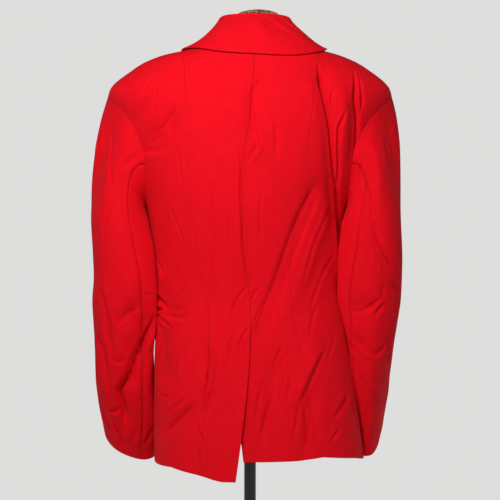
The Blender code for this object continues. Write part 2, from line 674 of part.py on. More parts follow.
# ---------------------------------------------------------------- sleeves
# x, y: centre. half_x, half_y: half widths. rise_x, rise_y: slope of the section's plane.
# twist: how far it leans sideways from front to back. wrap: how far its inner back corner
# reaches round the body.
Section = namedtuple("Section", "z x y half_x half_y rise_x rise_y square twist wrap")
SLEEVES = {
    "left": (
        Section(0.640, 0.2060, 0.010, 0.0470, 0.060, 0.00, 0.00, 2.0, 0.00, 0.000),
        Section(0.600, 0.2030, 0.012, 0.0480, 0.059, 0.00, -0.02, 2.0, 0.00, 0.006),
        Section(0.560, 0.2015, 0.012, 0.0485, 0.057, 0.00, -0.05, 2.0, -0.04, 0.012),
        Section(0.525, 0.2040, 0.009, 0.0495, 0.055, 0.00, -0.08, 2.0, -0.06, 0.017),
        Section(0.490, 0.2045, 0.004, 0.0480, 0.053, 0.02, -0.12, 2.0, -0.06, 0.020),
        Section(0.455, 0.2050, -0.004, 0.0460, 0.051, 0.04, -0.16, 2.0, -0.04, 0.022),
        Section(0.420, 0.2045, -0.012, 0.0460, 0.048, 0.07, -0.24, 2.0, 0.00, 0.022),
        Section(0.385, 0.2040, -0.022, 0.0465, 0.046, 0.12, -0.34, 2.0, 0.00, 0.020),
        Section(0.350, 0.2020, -0.037, 0.0465, 0.043, 0.20, -0.46, 2.0, 0.00, 0.016),
        Section(0.318, 0.2000, -0.056, 0.0455, 0.041, 0.30, -0.58, 2.1, 0.00, 0.006),
        Section(0.286, 0.1985, -0.076, 0.0445, 0.039, 0.38, -0.66, 2.2, 0.00, 0.000),
    ),
    "right": (
        Section(0.640, -0.1920, 0.012, 0.0490, 0.060, 0.00, 0.00, 2.0, 0.00, 0.000),
        Section(0.600, -0.1925, 0.014, 0.0500, 0.058, 0.00, -0.02, 2.0, 0.00, 0.006),
        Section(0.560, -0.1925, 0.014, 0.0505, 0.056, 0.00, -0.05, 2.0, 0.04, 0.012),
        Section(0.525, -0.1935, 0.010, 0.0490, 0.056, 0.00, -0.08, 2.0, 0.10, 0.014),
        Section(0.490, -0.1965, 0.004, 0.0420, 0.057, 0.00, -0.10, 2.1, 0.16, 0.014),
        Section(0.455, -0.1990, -0.003, 0.0350, 0.059, 0.00, -0.13, 2.2, 0.24, 0.014),
        Section(0.420, -0.2020, -0.011, 0.0255, 0.061, 0.00, -0.17, 2.4, 0.29, 0.014),
        Section(0.385, -0.2035, -0.020, 0.0190, 0.062, 0.00, -0.22, 2.6, 0.31, 0.013),
        Section(0.350, -0.2035, -0.032, 0.0168, 0.062, 0.00, -0.28, 2.8, 0.30, 0.012),
        Section(0.323, -0.2020, -0.044, 0.0158, 0.062, 0.00, -0.34, 3.0, 0.27, 0.006),
        Section(0.292, -0.2010, -0.060, 0.0152, 0.062, 0.00, -0.40, 3.2, 0.24, 0.000),
    ),
}
SLEEVE_FOLDS = {
    "left": (
        Fold("back", 0.013, -0.0090, ((0.156, 0.503), (0.166, 0.470), (0.176, 0.436), (0.190, 0.395),
                                      (0.204, 0.376), (0.203, 0.350), (0.195, 0.310))),
        Fold("back", 0.012, -0.0050, ((0.174, 0.512), (0.186, 0.504), (0.202, 0.486), (0.212, 0.474))),
        Fold("back", 0.012, -0.0035, ((0.216, 0.790), (0.218, 0.740), (0.216, 0.690))),
        Fold("back", 0.012, 0.0035, ((0.180, 0.575), (0.186, 0.530), (0.178, 0.500))),
        Fold("front", 0.013, -0.0055, ((0.178, 0.540), (0.205, 0.520), (0.232, 0.500))),
        Fold("left", 0.014, -0.0045, ((0.010, 0.560), (-0.010, 0.470), (-0.030, 0.380))),
    ),
    "right": (
        Fold("back", 0.012, -0.0055, ((-0.166, 0.735), (-0.178, 0.695), (-0.190, 0.645),
                                      (-0.204, 0.600), (-0.224, 0.560))),
        Fold("back", 0.013, -0.0070, ((-0.158, 0.500), (-0.176, 0.508), (-0.190, 0.512), (-0.206, 0.524))),
        Fold("back", 0.012, -0.0060, ((-0.166, 0.466), (-0.182, 0.448), (-0.192, 0.444))),
        Fold("back", 0.012, -0.0040, ((-0.216, 0.545), (-0.230, 0.535))),
        Fold("front", 0.013, -0.0050, ((-0.170, 0.540), (-0.196, 0.520), (-0.220, 0.500))),
        Fold("right", 0.014, -0.0045, ((0.006, 0.560), (-0.012, 0.470), (-0.032, 0.380))),
    ),
}
CAP_STEPS = (0.18, 0.38, 0.62, 0.82)
BACK_SEAM_LEVEL, FRONT_SEAM_LEVEL = 6.0, 5.55


def armhole_loop(rim, sign):
    """The armhole seam, from the shoulder point down the back and up the front."""
    down = [(rim + sign * float(armhole_angle(level, ARMHOLE_BACK_ANGLE)), level)
            for level in ARMHOLE_LEVELS[::-1]]
    up = [(rim - sign * float(armhole_angle(level, ARMHOLE_FRONT_ANGLE)), level)
          for level in ARMHOLE_LEVELS[1:-1]]
    return down + up


def keep_clear(points, side, rim, clearance):
    """Moves sleeve points that are too near the body straight away from it."""
    angles, levels = np.meshgrid(rim + np.linspace(-75, 75, 76), np.linspace(HEM_LEVEL, 8, 110))
    skin = plain_body(angles, levels, side).reshape(-1, 3)
    out = normals_of(partial(plain_body, half=side), angles, levels).reshape(-1, 3)
    moved = points.copy()
    for _ in range(3):
        flat = moved.reshape(-1, 3)
        nearest = np.argmin(((flat[:, None] - skin[None]) ** 2).sum(-1), axis=1)
        gap = ((flat - skin[nearest]) * out[nearest]).sum(-1).reshape(moved.shape[:-1])
        short = np.maximum(clearance - gap, 0)
        moved += out[nearest].reshape(moved.shape) * short[..., None]
    return moved


def sleeve_points(side, rim, sign):
    """Rows of inside points from the armhole down to the cuff, with the armhole's mitre."""
    frames = [seam_frame(angle, level) for angle, level in armhole_loop(rim, sign)]
    loop = np.array([frame[0] for frame in frames])
    mitre = np.array([frame[1] for frame in frames])
    across = np.array([frame[2] for frame in frames])
    leaving = np.array([frame[3] for frame in frames])
    walked = np.linalg.norm(np.roll(loop, -1, axis=0) - loop, axis=1)
    share = np.concatenate([[0], np.cumsum(walked)[:-1]]) / walked.sum()
    theta = 2 * np.pi * share
    rows = []
    sections = np.array(SLEEVES[side])
    c, s = np.cos(theta), np.sin(theta)
    corner = smoothstep(-c / 0.6) * smoothstep(s / 0.5)
    for z, x, y, half_x, half_y, rise_x, rise_y, square, twist, wrap in sections:
        dx = sign * half_x * np.sign(c) * np.abs(c) ** (2 / square)
        dy = half_y * np.sign(s) * np.abs(s) ** (2 / square)
        rows.append(np.stack([x + dx + twist * dy - sign * wrap * corner, y + dy,
                              z + sign * rise_x * dx + rise_y * dy], axis=-1))
    tube = np.array(rows)
    first, down = tube[0], unit(tube[1] - tube[0])
    reach = np.linalg.norm(first - loop, axis=1)[:, None]
    cap = []
    for t in CAP_STEPS:
        cap.append((2 * t**3 - 3 * t**2 + 1) * loop + (t**3 - 2 * t**2 + t) * leaving * reach
                   + (3 * t**2 - 2 * t**3) * first + (t**3 - t**2) * down * reach * 0.9)
    points = np.concatenate([[loop], cap, tube])
    clearance = np.full(points.shape[:2], 2 * CLOTH + 0.0012)
    clearance[0], clearance[1], clearance[2] = -1, 0.0025, 0.0042
    points = keep_clear(points, side, rim, clearance)
    return points, mitre, across


def tube_normals(points, sign):
    down = np.gradient(points, axis=0)
    around = np.roll(points, -1, axis=1) - np.roll(points, 1, axis=1)
    return unit(np.cross(down, around)) * sign


def sleeves(parts):
    """Each sleeve is an upper and an under piece between a front and a back seam."""
    levels = [level for _, level in armhole_loop(0, 1)]
    back_seam = levels.index(BACK_SEAM_LEVEL)
    front_seam = len(levels) - levels[::-1].index(FRONT_SEAM_LEVEL) - 1
    under = list(range(back_seam, front_seam + 1))
    upper = [i % len(levels) for i in range(front_seam, back_seam + len(levels) + 1)]
    for side, sign, rim in (("left", 1, 0.0), ("right", -1, 180.0)):
        points, mitre, across = sleeve_points(side, rim, sign)
        normal = tube_normals(points, sign)
        depth = fold_depth(points, normal, SLEEVE_FOLDS[side])
        depth[0] = 0
        points = points + normal * depth[..., None]
        through = tube_normals(points, sign) * CLOTH
        through[0] = mitre
        for piece, columns in (("upper", upper), ("under", under)):
            grid = ease_edges(points[:, columns], ("left", "right"))
            grid[0] += across[columns] * GAP / 2
            cloth_wall("sleeve_%s_%s" % (side, piece), grid, through[:, columns],
                       "jacket_cloth", parts)


# ---------------------------------------------------------------- turned pieces
def turned(name, profile, segments, location, material, parts):
    """A solid of revolution about +Z from (radius, height) pairs, closed on the axis."""
    builder = bmesh.new()
    rings = []
    for radius, height in profile:
        if radius == 0:
            rings.append([builder.verts.new((0, 0, height))])
            continue
        rings.append([builder.verts.new((radius * math.cos(2 * math.pi * i / segments),
                                         radius * math.sin(2 * math.pi * i / segments), height))
                      for i in range(segments)])
    for low, high in zip(rings, rings[1:]):
        for i in range(segments):
            j = (i + 1) % segments
            if len(low) == 1:
                builder.faces.new([low[0], high[j], high[i]])
            elif len(high) == 1:
                builder.faces.new([low[i], low[j], high[0]])
            else:
                builder.faces.new([low[i], low[j], high[j], high[i]])
    made = add_object(name, builder, material, parts)
    made.location = location
    return made


BUTTON_PROFILE = ((0, 0), (0.0100, 0), (BUTTON_RADIUS, 0.0012), (BUTTON_RADIUS, 0.0030),
                  (0.0102, BUTTON_HEIGHT), (0.0082, BUTTON_HEIGHT), (0.0070, 0.0034), (0, 0.0030))


def buttons(parts):
    """Two columns of three on the right front, the outer ones in its buttonholes."""
    number = 0
    for height in BUTTON_ROWS_Z:
        for x in (-BUTTON_COLUMN, BUTTON_COLUMN):
            number += 1
            near = x + np.array([0, 1, -1, 0, 0, 0.7, -0.7, 0.7, -0.7]) * BUTTON_RADIUS
            high = height + np.array([0, 0, 0, 1, -1, 0.7, 0.7, -0.7, -0.7]) * BUTTON_RADIUS
            angle, level = front_place("right", near, high)
            skin = right_front(angle, level)
            normals = normals_of(right_front, angle, level)
            skin = skin + normals * CLOTH
            out = unit(normals.mean(axis=0))
            seat = max((skin - skin[0]) @ out) + GAP
            made = turned("button_%d" % number, BUTTON_PROFILE, 16, skin[0] + out * seat,
                          "button_red", parts)
            made.rotation_euler = Vector(out).to_track_quat("Z", "Y").to_euler()


# ---------------------------------------------------------------- dress form and stand
FORM_RINGS = (
    Ring("bottom", FORM_BOTTOM_Z, FORM_BOTTOM_Z, FORM_BOTTOM_Z, 0.120, 0.126, 0.096, 0.102, 2.1),
    Ring("hip", 0.380, 0.380, 0.380, 0.127, 0.133, 0.102, 0.110, 2.1),
    Ring("high_hip", 0.445, 0.445, 0.445, 0.123, 0.127, 0.093, 0.106, 2.1),
    Ring("waist", 0.525, 0.525, 0.525, 0.115, 0.115, 0.077, 0.095, 2.1),
    Ring("midriff", 0.600, 0.600, 0.600, 0.122, 0.116, 0.081, 0.109, 2.1),
    Ring("armpit", 0.670, 0.670, 0.670, 0.134, 0.124, 0.089, 0.124, 2.1),
    Ring("chest", 0.735, 0.737, 0.735, 0.148, 0.144, 0.092, 0.119, 2.1),
    Ring("blade", 0.800, 0.802, 0.794, 0.168, 0.168, 0.091, 0.100, 2.1),
    Ring("shoulder_point", 0.846, 0.843, 0.830, 0.194, 0.194, 0.080, 0.076, 2.1),
    Ring("shoulder_middle", 0.884, 0.874, 0.856, 0.176, 0.178, 0.072, 0.064, 2.1),
    Ring("shoulder_inner", 0.903, 0.894, 0.878, 0.140, 0.143, 0.066, 0.058, 2.1),
    Ring("under_collar", 0.914, 0.907, 0.896, 0.098, 0.110, 0.060, 0.055, 2.0),
    Ring("neck_base", 0.926, 0.922, 0.912, 0.052, 0.070, 0.052, 0.049, 2.0),
    Ring("neck", 0.945, 0.945, 0.940, 0.032, 0.057, 0.043, 0.042, 2.0),
    Ring("neck_top", 0.970, 0.970, 0.970, 0.028, 0.054, 0.041, 0.041, 2.0),
    Ring("cap", 0.982, 0.982, 0.982, 0.019, 0.045, 0.032, 0.032, 2.0),
    Ring("crown", 0.9865, 0.9865, 0.9865, 0.004, 0.030, 0.017, 0.017, 2.0),
)
FORM_LEVELS = np.array([0, 0.35, 1, 1.5, 2, 2.5, 3, 3.5, 4, 4.5, 5, 5.5, 6, 6.5, 7, 7.5, 8, 8.35,
                        8.7, 9.1, 9.5, 10, 10.5, 11, 11.5, 12, 12.5, 13, 14, 15, 16])
FORM_COLUMNS = 28


def form_surface(angle, level):
    """The dress form: its own shape, but carrying the jacket along the shoulders."""
    side, back, front, left, right, behind, ahead, square = np.moveaxis(
        rows_at([ring[1:] for ring in FORM_RINGS], level), -1, 0)
    c, s = np.cos(np.radians(angle)), np.sin(np.radians(angle))
    x = (left - right) / 2 + (left + right) / 2 * np.sign(c) * np.abs(c) ** (2 / square)
    y = np.where(s > 0, behind, ahead) * np.sign(s) * np.abs(s) ** (2 / square)
    z = side + (np.where(s > 0, back, front) - side) * s**2
    own = np.stack([x, y, z], -1)
    under = np.clip(level, 8.0, float(NECK_LEVEL))
    drop = GAP + 0.013 * (1 - np.exp(-((s / 0.30) ** 2)))
    seat = body(angle, under) - normals_of(body, angle, under) * drop[..., None]
    share = smoothstep((level - 8.5) / 0.6) * smoothstep((11.6 - level) / 0.6)
    return own + (seat - own) * share[..., None]


def dress_form(parts):
    angles, levels = np.meshgrid(np.arange(FORM_COLUMNS) * 360 / FORM_COLUMNS, FORM_LEVELS)
    points = form_surface(angles, levels)
    builder = bmesh.new()
    grid = [[builder.verts.new(point) for point in row] for row in points]
    low = builder.verts.new((*points[0, :, :2].mean(axis=0), FORM_BOTTOM_Z))
    top = builder.verts.new((*points[-1, :, :2].mean(axis=0), 0.9872))
    for i in range(FORM_COLUMNS):
        j = (i + 1) % FORM_COLUMNS
        builder.faces.new([low, grid[0][j], grid[0][i]])
        builder.faces.new([grid[-1][i], grid[-1][j], top])
        for below, above in zip(grid, grid[1:]):
            builder.faces.new([below[i], below[j], above[j], above[i]])
    add_object("form_torso", builder, "form_cover", parts)


def stand(parts):
    foot = ((0, 0), (FOOT_RADIUS, 0), (FOOT_RADIUS + 0.001, 0.004), (FOOT_RADIUS - 0.002, 0.010),
            (FOOT_RADIUS - 0.008, FOOT_HEIGHT), (0.030, FOOT_HEIGHT), (0.026, 0.020), (0.021, 0.022),
            (0, 0.022))
    turned("stand_foot", foot, 40, (0, 0, 0), "stand_black", parts)
    pole_foot, pole_top = 0.022 + GAP, FORM_BOTTOM_Z - 0.014 - GAP
    turned("stand_pole", ((0, pole_foot), (POLE_RADIUS, pole_foot), (POLE_RADIUS, pole_top),
                          (0, pole_top)), 20, (0, 0, 0), "stand_black", parts)
    low = FORM_BOTTOM_Z - 0.014
    plate = ((0, low), (0.020, low), (0.022, low + 0.006), (0.044, low + 0.009),
             (0.046, FORM_BOTTOM_Z - GAP), (0, FORM_BOTTOM_Z - GAP))
    turned("stand_plate", plate, 24, (0, 0, 0), "stand_black", parts)


def build():
    clear_scene()
    parts = collection("double_breasted_jacket")
    back_panels(parts)
    front_panels(parts)
    lapels(parts)
    collar(parts)
    sleeves(parts)
    buttons(parts)
    dress_form(parts)
    stand(parts)


build()
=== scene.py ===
# %% [markdown]
# # A red double-breasted jacket on a dress form
# This lesson dresses a plain model of a tailored jacket with its real cloth: the folds
# of a jacket that has been worn, the weave, the seams, the buttons, and the form and
# stand that carry it. Lengths are in metres, +Z is up, the jacket's front faces -Y and
# its left side is +X. The plain model comes first, because every finished piece takes
# the place of one of its parts and has to stay inside its size.

# %% Load the plain model
import json
import math
from collections import namedtuple

import bmesh
import bpy
import numpy as np
from mathutils import Matrix, Vector

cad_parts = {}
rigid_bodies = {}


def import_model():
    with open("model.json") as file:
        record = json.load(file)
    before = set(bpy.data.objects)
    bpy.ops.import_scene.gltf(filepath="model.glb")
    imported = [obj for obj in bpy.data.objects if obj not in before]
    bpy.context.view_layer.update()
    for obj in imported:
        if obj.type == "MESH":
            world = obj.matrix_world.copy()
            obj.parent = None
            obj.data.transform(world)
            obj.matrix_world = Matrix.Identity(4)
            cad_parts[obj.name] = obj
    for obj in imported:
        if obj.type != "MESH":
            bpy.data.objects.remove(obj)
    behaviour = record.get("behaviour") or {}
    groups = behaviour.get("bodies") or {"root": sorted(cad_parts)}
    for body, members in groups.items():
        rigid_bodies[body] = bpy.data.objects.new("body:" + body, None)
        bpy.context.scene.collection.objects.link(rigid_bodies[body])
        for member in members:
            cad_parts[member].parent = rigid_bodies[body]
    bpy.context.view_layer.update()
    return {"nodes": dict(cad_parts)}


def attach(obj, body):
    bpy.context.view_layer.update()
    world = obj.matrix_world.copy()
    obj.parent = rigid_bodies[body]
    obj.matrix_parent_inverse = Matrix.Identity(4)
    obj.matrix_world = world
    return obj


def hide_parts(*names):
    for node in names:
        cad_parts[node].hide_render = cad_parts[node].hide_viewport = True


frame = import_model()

bpy.ops.object.select_all(action="DESELECT")
print("parts of the plain model:", len(frame["nodes"]))

# %% [markdown]
# ## Looking at the jacket
# A picture is easier to judge while the work goes on if the camera is there from the
# start. The jacket is seen straight from behind, from 2 m away and level with its middle.
# From there a long lens shows its near and far parts at nearly the same size.

# %% Camera behind the jacket
VIEW_DISTANCE, VIEW_HEIGHT, LENS, SENSOR = 2.0, 0.600, 88.9, 36
bpy.ops.object.camera_add(location=(0, VIEW_DISTANCE, VIEW_HEIGHT),
                          rotation=(math.pi / 2, 0, math.pi))
camera = bpy.context.object
camera.name = "camera_behind"
camera.data.lens = LENS
camera.data.sensor_width = SENSOR
bpy.context.scene.camera = camera
look = camera.matrix_world.to_quaternion() @ Vector((0, 0, -1))
print("camera looks along", [round(value, 2) for value in look])

# %% [markdown]
# ## The worn shape as a stack of rings
# A jacket on a form is one smooth surface, cut up by seams. It could be draped by a
# simulation, but then its outline would be chance. Here it is a stack of rings from
# below the hem to the neck: each ring gives the heights and the half widths and depths
# of the cloth there. A point of the surface is named by an angle round the body (0 is
# the left side, 90 the back, 180 the right side, 270 the front) and by a level, which
# is a ring's number or a place between two rings.

# %% Rings of the body
Ring = namedtuple("Ring", "name side back front left right behind ahead square")
RINGS = (
    Ring("below_hem", 0.240, 0.240, 0.240, 0.151, 0.184, 0.134, 0.142, 2.6),
    Ring("hip", 0.350, 0.350, 0.350, 0.153, 0.171, 0.128, 0.138, 2.6),
    Ring("high_hip", 0.440, 0.440, 0.440, 0.153, 0.160, 0.113, 0.128, 2.5),
    Ring("waist", 0.525, 0.525, 0.525, 0.152, 0.147, 0.097, 0.117, 2.3),
    Ring("midriff", 0.600, 0.600, 0.600, 0.155, 0.145, 0.102, 0.132, 2.2),
    Ring("armpit", 0.670, 0.670, 0.670, 0.165, 0.152, 0.110, 0.146, 2.2),
    Ring("chest", 0.735, 0.737, 0.735, 0.182, 0.178, 0.113, 0.141, 2.2),
    Ring("blade", 0.802, 0.804, 0.796, 0.206, 0.205, 0.112, 0.120, 2.2),
    Ring("shoulder_point", 0.853, 0.850, 0.838, 0.226, 0.226, 0.103, 0.096, 2.2),
    Ring("shoulder_middle", 0.890, 0.880, 0.864, 0.186, 0.188, 0.093, 0.082, 2.2),
    Ring("shoulder_inner", 0.908, 0.900, 0.886, 0.150, 0.153, 0.085, 0.076, 2.2),
    Ring("under_collar", 0.918, 0.914, 0.903, 0.108, 0.119, 0.077, 0.072, 2.1),
    Ring("neck", 0.929, 0.925, 0.917, 0.068, 0.082, 0.069, 0.066, 2.0),
)
HEM_LEVEL, WAIST_LEVEL, ARMPIT_LEVEL, POINT_LEVEL, NECK_LEVEL = 0.20, 3.0, 5.0, 8.0, 12.0
WAIST_Z, BREAK_Z, VENT_TOP_Z = 0.525, 0.598, 0.470
CLOTH, DOUBLE_CLOTH, SEAM_GAP = 0.0020, 0.0024, 0.0003


def smoothstep(value):
    value = np.clip(value, 0, 1)
    return value * value * (3 - 2 * value)


def unit(vector):
    return vector / np.maximum(np.linalg.norm(vector, axis=-1, keepdims=True), 1e-12)


def rows_at(table, place):
    """Smooth values between the rows of a table, at a row number that may be a fraction."""
    table = np.asarray(table, float)
    last = len(table) - 1
    place = np.clip(np.asarray(place, float), 0, last)
    i = np.minimum(place.astype(int), last - 1)
    t = (place - i).reshape(place.shape + (1,) * (table.ndim - 1))
    before, here = table[np.maximum(i - 1, 0)], table[i]
    after, beyond = table[i + 1], table[np.minimum(i + 2, last)]
    out, into = (after - before) / 2, (beyond - here) / 2
    return ((2 * t**3 - 3 * t**2 + 1) * here + (t**3 - 2 * t**2 + t) * out
            + (3 * t**2 - 2 * t**3) * after + (t**3 - t**2) * into)


print("rings:", len(RINGS), "from", RINGS[0].side, "to", RINGS[-1].side, "m")

# %% [markdown]
# ## The hem
# A worn hem is never level. Behind, the vent's two flaps hang at different heights, the
# left one 3 cm lower, so each half of the jacket has its own hem table. The rings below
# the waist are then spread so that the lowest one follows that hem.

# %% Hem heights and the body surface
Hem = namedtuple("Hem", "angle height")
HEMS = {
    "left": (Hem(-90, 0.263), Hem(0, 0.262), Hem(40, 0.265), Hem(60, 0.258), Hem(76, 0.250)),
    "right": (Hem(79, 0.278), Hem(105, 0.280), Hem(120, 0.284), Hem(150, 0.276), Hem(180, 0.264),
              Hem(270, 0.263)),
}
TRIED_LEVELS = np.linspace(0, WAIST_LEVEL, 301)
TRIED_HEIGHTS = rows_at([[ring.side] for ring in RINGS], TRIED_LEVELS)[:, 0]
LOWEST = np.interp(HEM_LEVEL, TRIED_LEVELS, TRIED_HEIGHTS)


def fit_to_hem(angle, level, half):
    """Spreads the rows below the waist so that the lowest one follows the hem."""
    hem = np.interp(angle, *zip(*HEMS[half]))
    level = np.asarray(level, float)
    height = np.interp(level, TRIED_LEVELS, TRIED_HEIGHTS)
    height = hem + (height - LOWEST) * (WAIST_Z - hem) / (WAIST_Z - LOWEST)
    return np.where(level < WAIST_LEVEL, np.interp(height, TRIED_HEIGHTS, TRIED_LEVELS), level)


def ringed(rings, angle, level):
    """Points of a surface that is a stack of rings."""
    side, back, front, left, right, behind, ahead, square = np.moveaxis(
        rows_at([ring[1:] for ring in rings], level), -1, 0)
    c, s = np.cos(np.radians(angle)), np.sin(np.radians(angle))
    x = (left - right) / 2 + (left + right) / 2 * np.sign(c) * np.abs(c) ** (2 / square)
    y = np.where(s > 0, behind, ahead) * np.sign(s) * np.abs(s) ** (2 / square)
    return np.stack([x, y, side + (np.where(s > 0, back, front) - side) * s**2], -1)


def plain_body(angle, level, half="left"):
    """The body surface with no folds. The half tells which hem it runs down to."""
    return ringed(RINGS, angle, fit_to_hem(angle, level, half))


def normals_of(surface, angle, level, step_angle=0.4, step_level=0.02):
    """Outward unit normals of a surface given as a function of angle and level."""
    high, low = np.minimum(level + step_level, NECK_LEVEL), np.maximum(level - step_level, 0)
    around = surface(angle + step_angle, level) - surface(angle - step_angle, level)
    return unit(np.cross(around, surface(angle, high) - surface(angle, low)))


def body_and_normal(angle, level, half="left"):
    angle, level = np.broadcast_arrays(np.asarray(angle, float), np.asarray(level, float))
    return (plain_body(angle, level, half),
            normals_of(lambda a, l: plain_body(a, l, half), angle, level))


print("hem heights:", {half: (table[0].height, table[-1].height) for half, table in HEMS.items()})

# %% [markdown]
# ## Folds and creases
# What makes red cloth look like cloth is how it breaks. Broad folds come from the way
# the jacket hangs, and they belong to its shape. Creases are sharper: a thin valley with
# the cloth pushed up beside it. Sculpting them by hand would work, but a table is easier
# to correct: each fold is a path seen straight from one side, with a width and a depth,
# and each crease has a lip too. Depths below 0 go in, towards the form.

# %% Broad folds
Fold = namedtuple("Fold", "seen width depth points")


def path_of(numbers):
    """Whole millimetres, across and up by turns, as the places of a path in metres."""
    return tuple((across / 1000, up / 1000) for across, up in zip(numbers[::2], numbers[1::2]))


def fold_table(*rows):
    """Folds from rows of whole numbers: who sees it, its width and depth in tenths of a
    millimetre, and its path in millimetres."""
    return tuple(Fold(seen, width / 10000, depth / 10000, path_of(path))
                 for seen, width, depth, *path in rows)


FOLDS = fold_table(
    ("back", 130, -85, -106, 890, -114, 851, -124, 795, -129, 727, -132, 678, -135, 620),
    ("back", 110, 40, -142, 850, -146, 800, -145, 740),
    ("back", 110, -55, -161, 866, -165, 830, -164, 786, -160, 730),
    ("back", 130, -45, -108, 716, -78, 643, -54, 577, -31, 515, -10, 455),
    ("back", 120, 30, -126, 680, -98, 610, -76, 548, -52, 490),
    ("back", 120, -45, -18, 866, -2, 840, -3, 789, -10, 755),
    ("back", 120, -70, 112, 826, 126, 790, 145, 773, 166, 752),
    ("back", 120, -35, 66, 456, 60, 402, 67, 340),
    ("back", 130, -65, 78, 368, 112, 332, 138, 312),
    ("back", 120, -50, 140, 522, 121, 504, 96, 499),
    ("back", 120, -50, 142, 492, 135, 430, 122, 375),
    ("back", 130, 50, -106, 468, -85, 414, -66, 362),
    ("back", 120, -45, -97, 398, -89, 336, -83, 275),
    ("back", 120, -40, -50, 460, -30, 380, -19, 300),
    ("front", 140, -50, 58, 560, 92, 600, 122, 655),
    ("front", 140, -45, -60, 560, -94, 602, -120, 650),
    ("front", 130, -45, 62, 470, 98, 430, 128, 360),
    ("front", 130, -40, -62, 468, -92, 420, -104, 330),
    ("front", 130, -50, 128, 815, 143, 775, 152, 728),
    ("front", 130, -50, -126, 812, -140, 770, -148, 720),
    ("left", 140, -40, 20, 500, 8, 420, 16, 330),
    ("right", 140, -40, -16, 480, -4, 400, -14, 310),
)
# Which way each viewer looks from, and which coordinate runs across the view.
VIEWERS = {"back": ((0, 1, 0), 0), "front": ((0, -1, 0), 0),
           "left": ((1, 0, 0), 1), "right": ((-1, 0, 0), 1)}


def along_path(across, height, points):
    """Signed distance to a path (right of the way it runs is above 0), the length up to
    the nearest place of it, and its whole length."""
    best = np.full(across.shape, np.inf)
    signed, along, walked = np.zeros(across.shape), np.zeros(across.shape), 0.0
    for (ax, az), (bx, bz) in zip(points, points[1:]):
        dx, dz = bx - ax, bz - az
        length = max(math.hypot(dx, dz), 1e-9)
        t = np.clip(((across - ax) * dx + (height - az) * dz) / length**2, 0, 1)
        ex, ez = across - ax - t * dx, height - az - t * dz
        distance = np.hypot(ex, ez)
        nearer = distance < best
        best = np.where(nearer, distance, best)
        signed = np.where(nearer, distance * np.sign(ex * dz - ez * dx), signed)
        along = np.where(nearer, walked + t * length, along)
        walked += length
    return signed, along, walked


def fold_depth(point, normal, folds):
    """How far the broad folds move each point along its normal."""
    moved = np.zeros(point.shape[:-1])
    for fold in folds:
        look, axis = VIEWERS[fold.seen]
        faces = smoothstep((normal @ np.array(look, float)) / 0.5)
        distance, along, length = along_path(point[..., axis], point[..., 2], fold.points)
        ends = smoothstep(np.minimum(along, length - along) / 0.045 + 0.25)
        moved += fold.depth * faces * ends * np.exp(-((distance / fold.width) ** 2))
    return moved


print("broad folds of the body:", len(FOLDS))

# %% Creases of the body
# lip is how high the cloth stands up beside the valley, and side says where, as seen from
# behind on a path that runs down: -1 on its left, 1 on its right, 0 on both sides.
Crease = namedtuple("Crease", "width depth lip side points")


def crease_table(*rows):
    """Creases from rows of whole numbers: width, depth and lip in tenths of a millimetre,
    the side, and the path in millimetres."""
    return tuple(Crease(width / 10000, depth / 10000, lip / 10000, side, path_of(path))
                 for width, depth, lip, side, *path in rows)


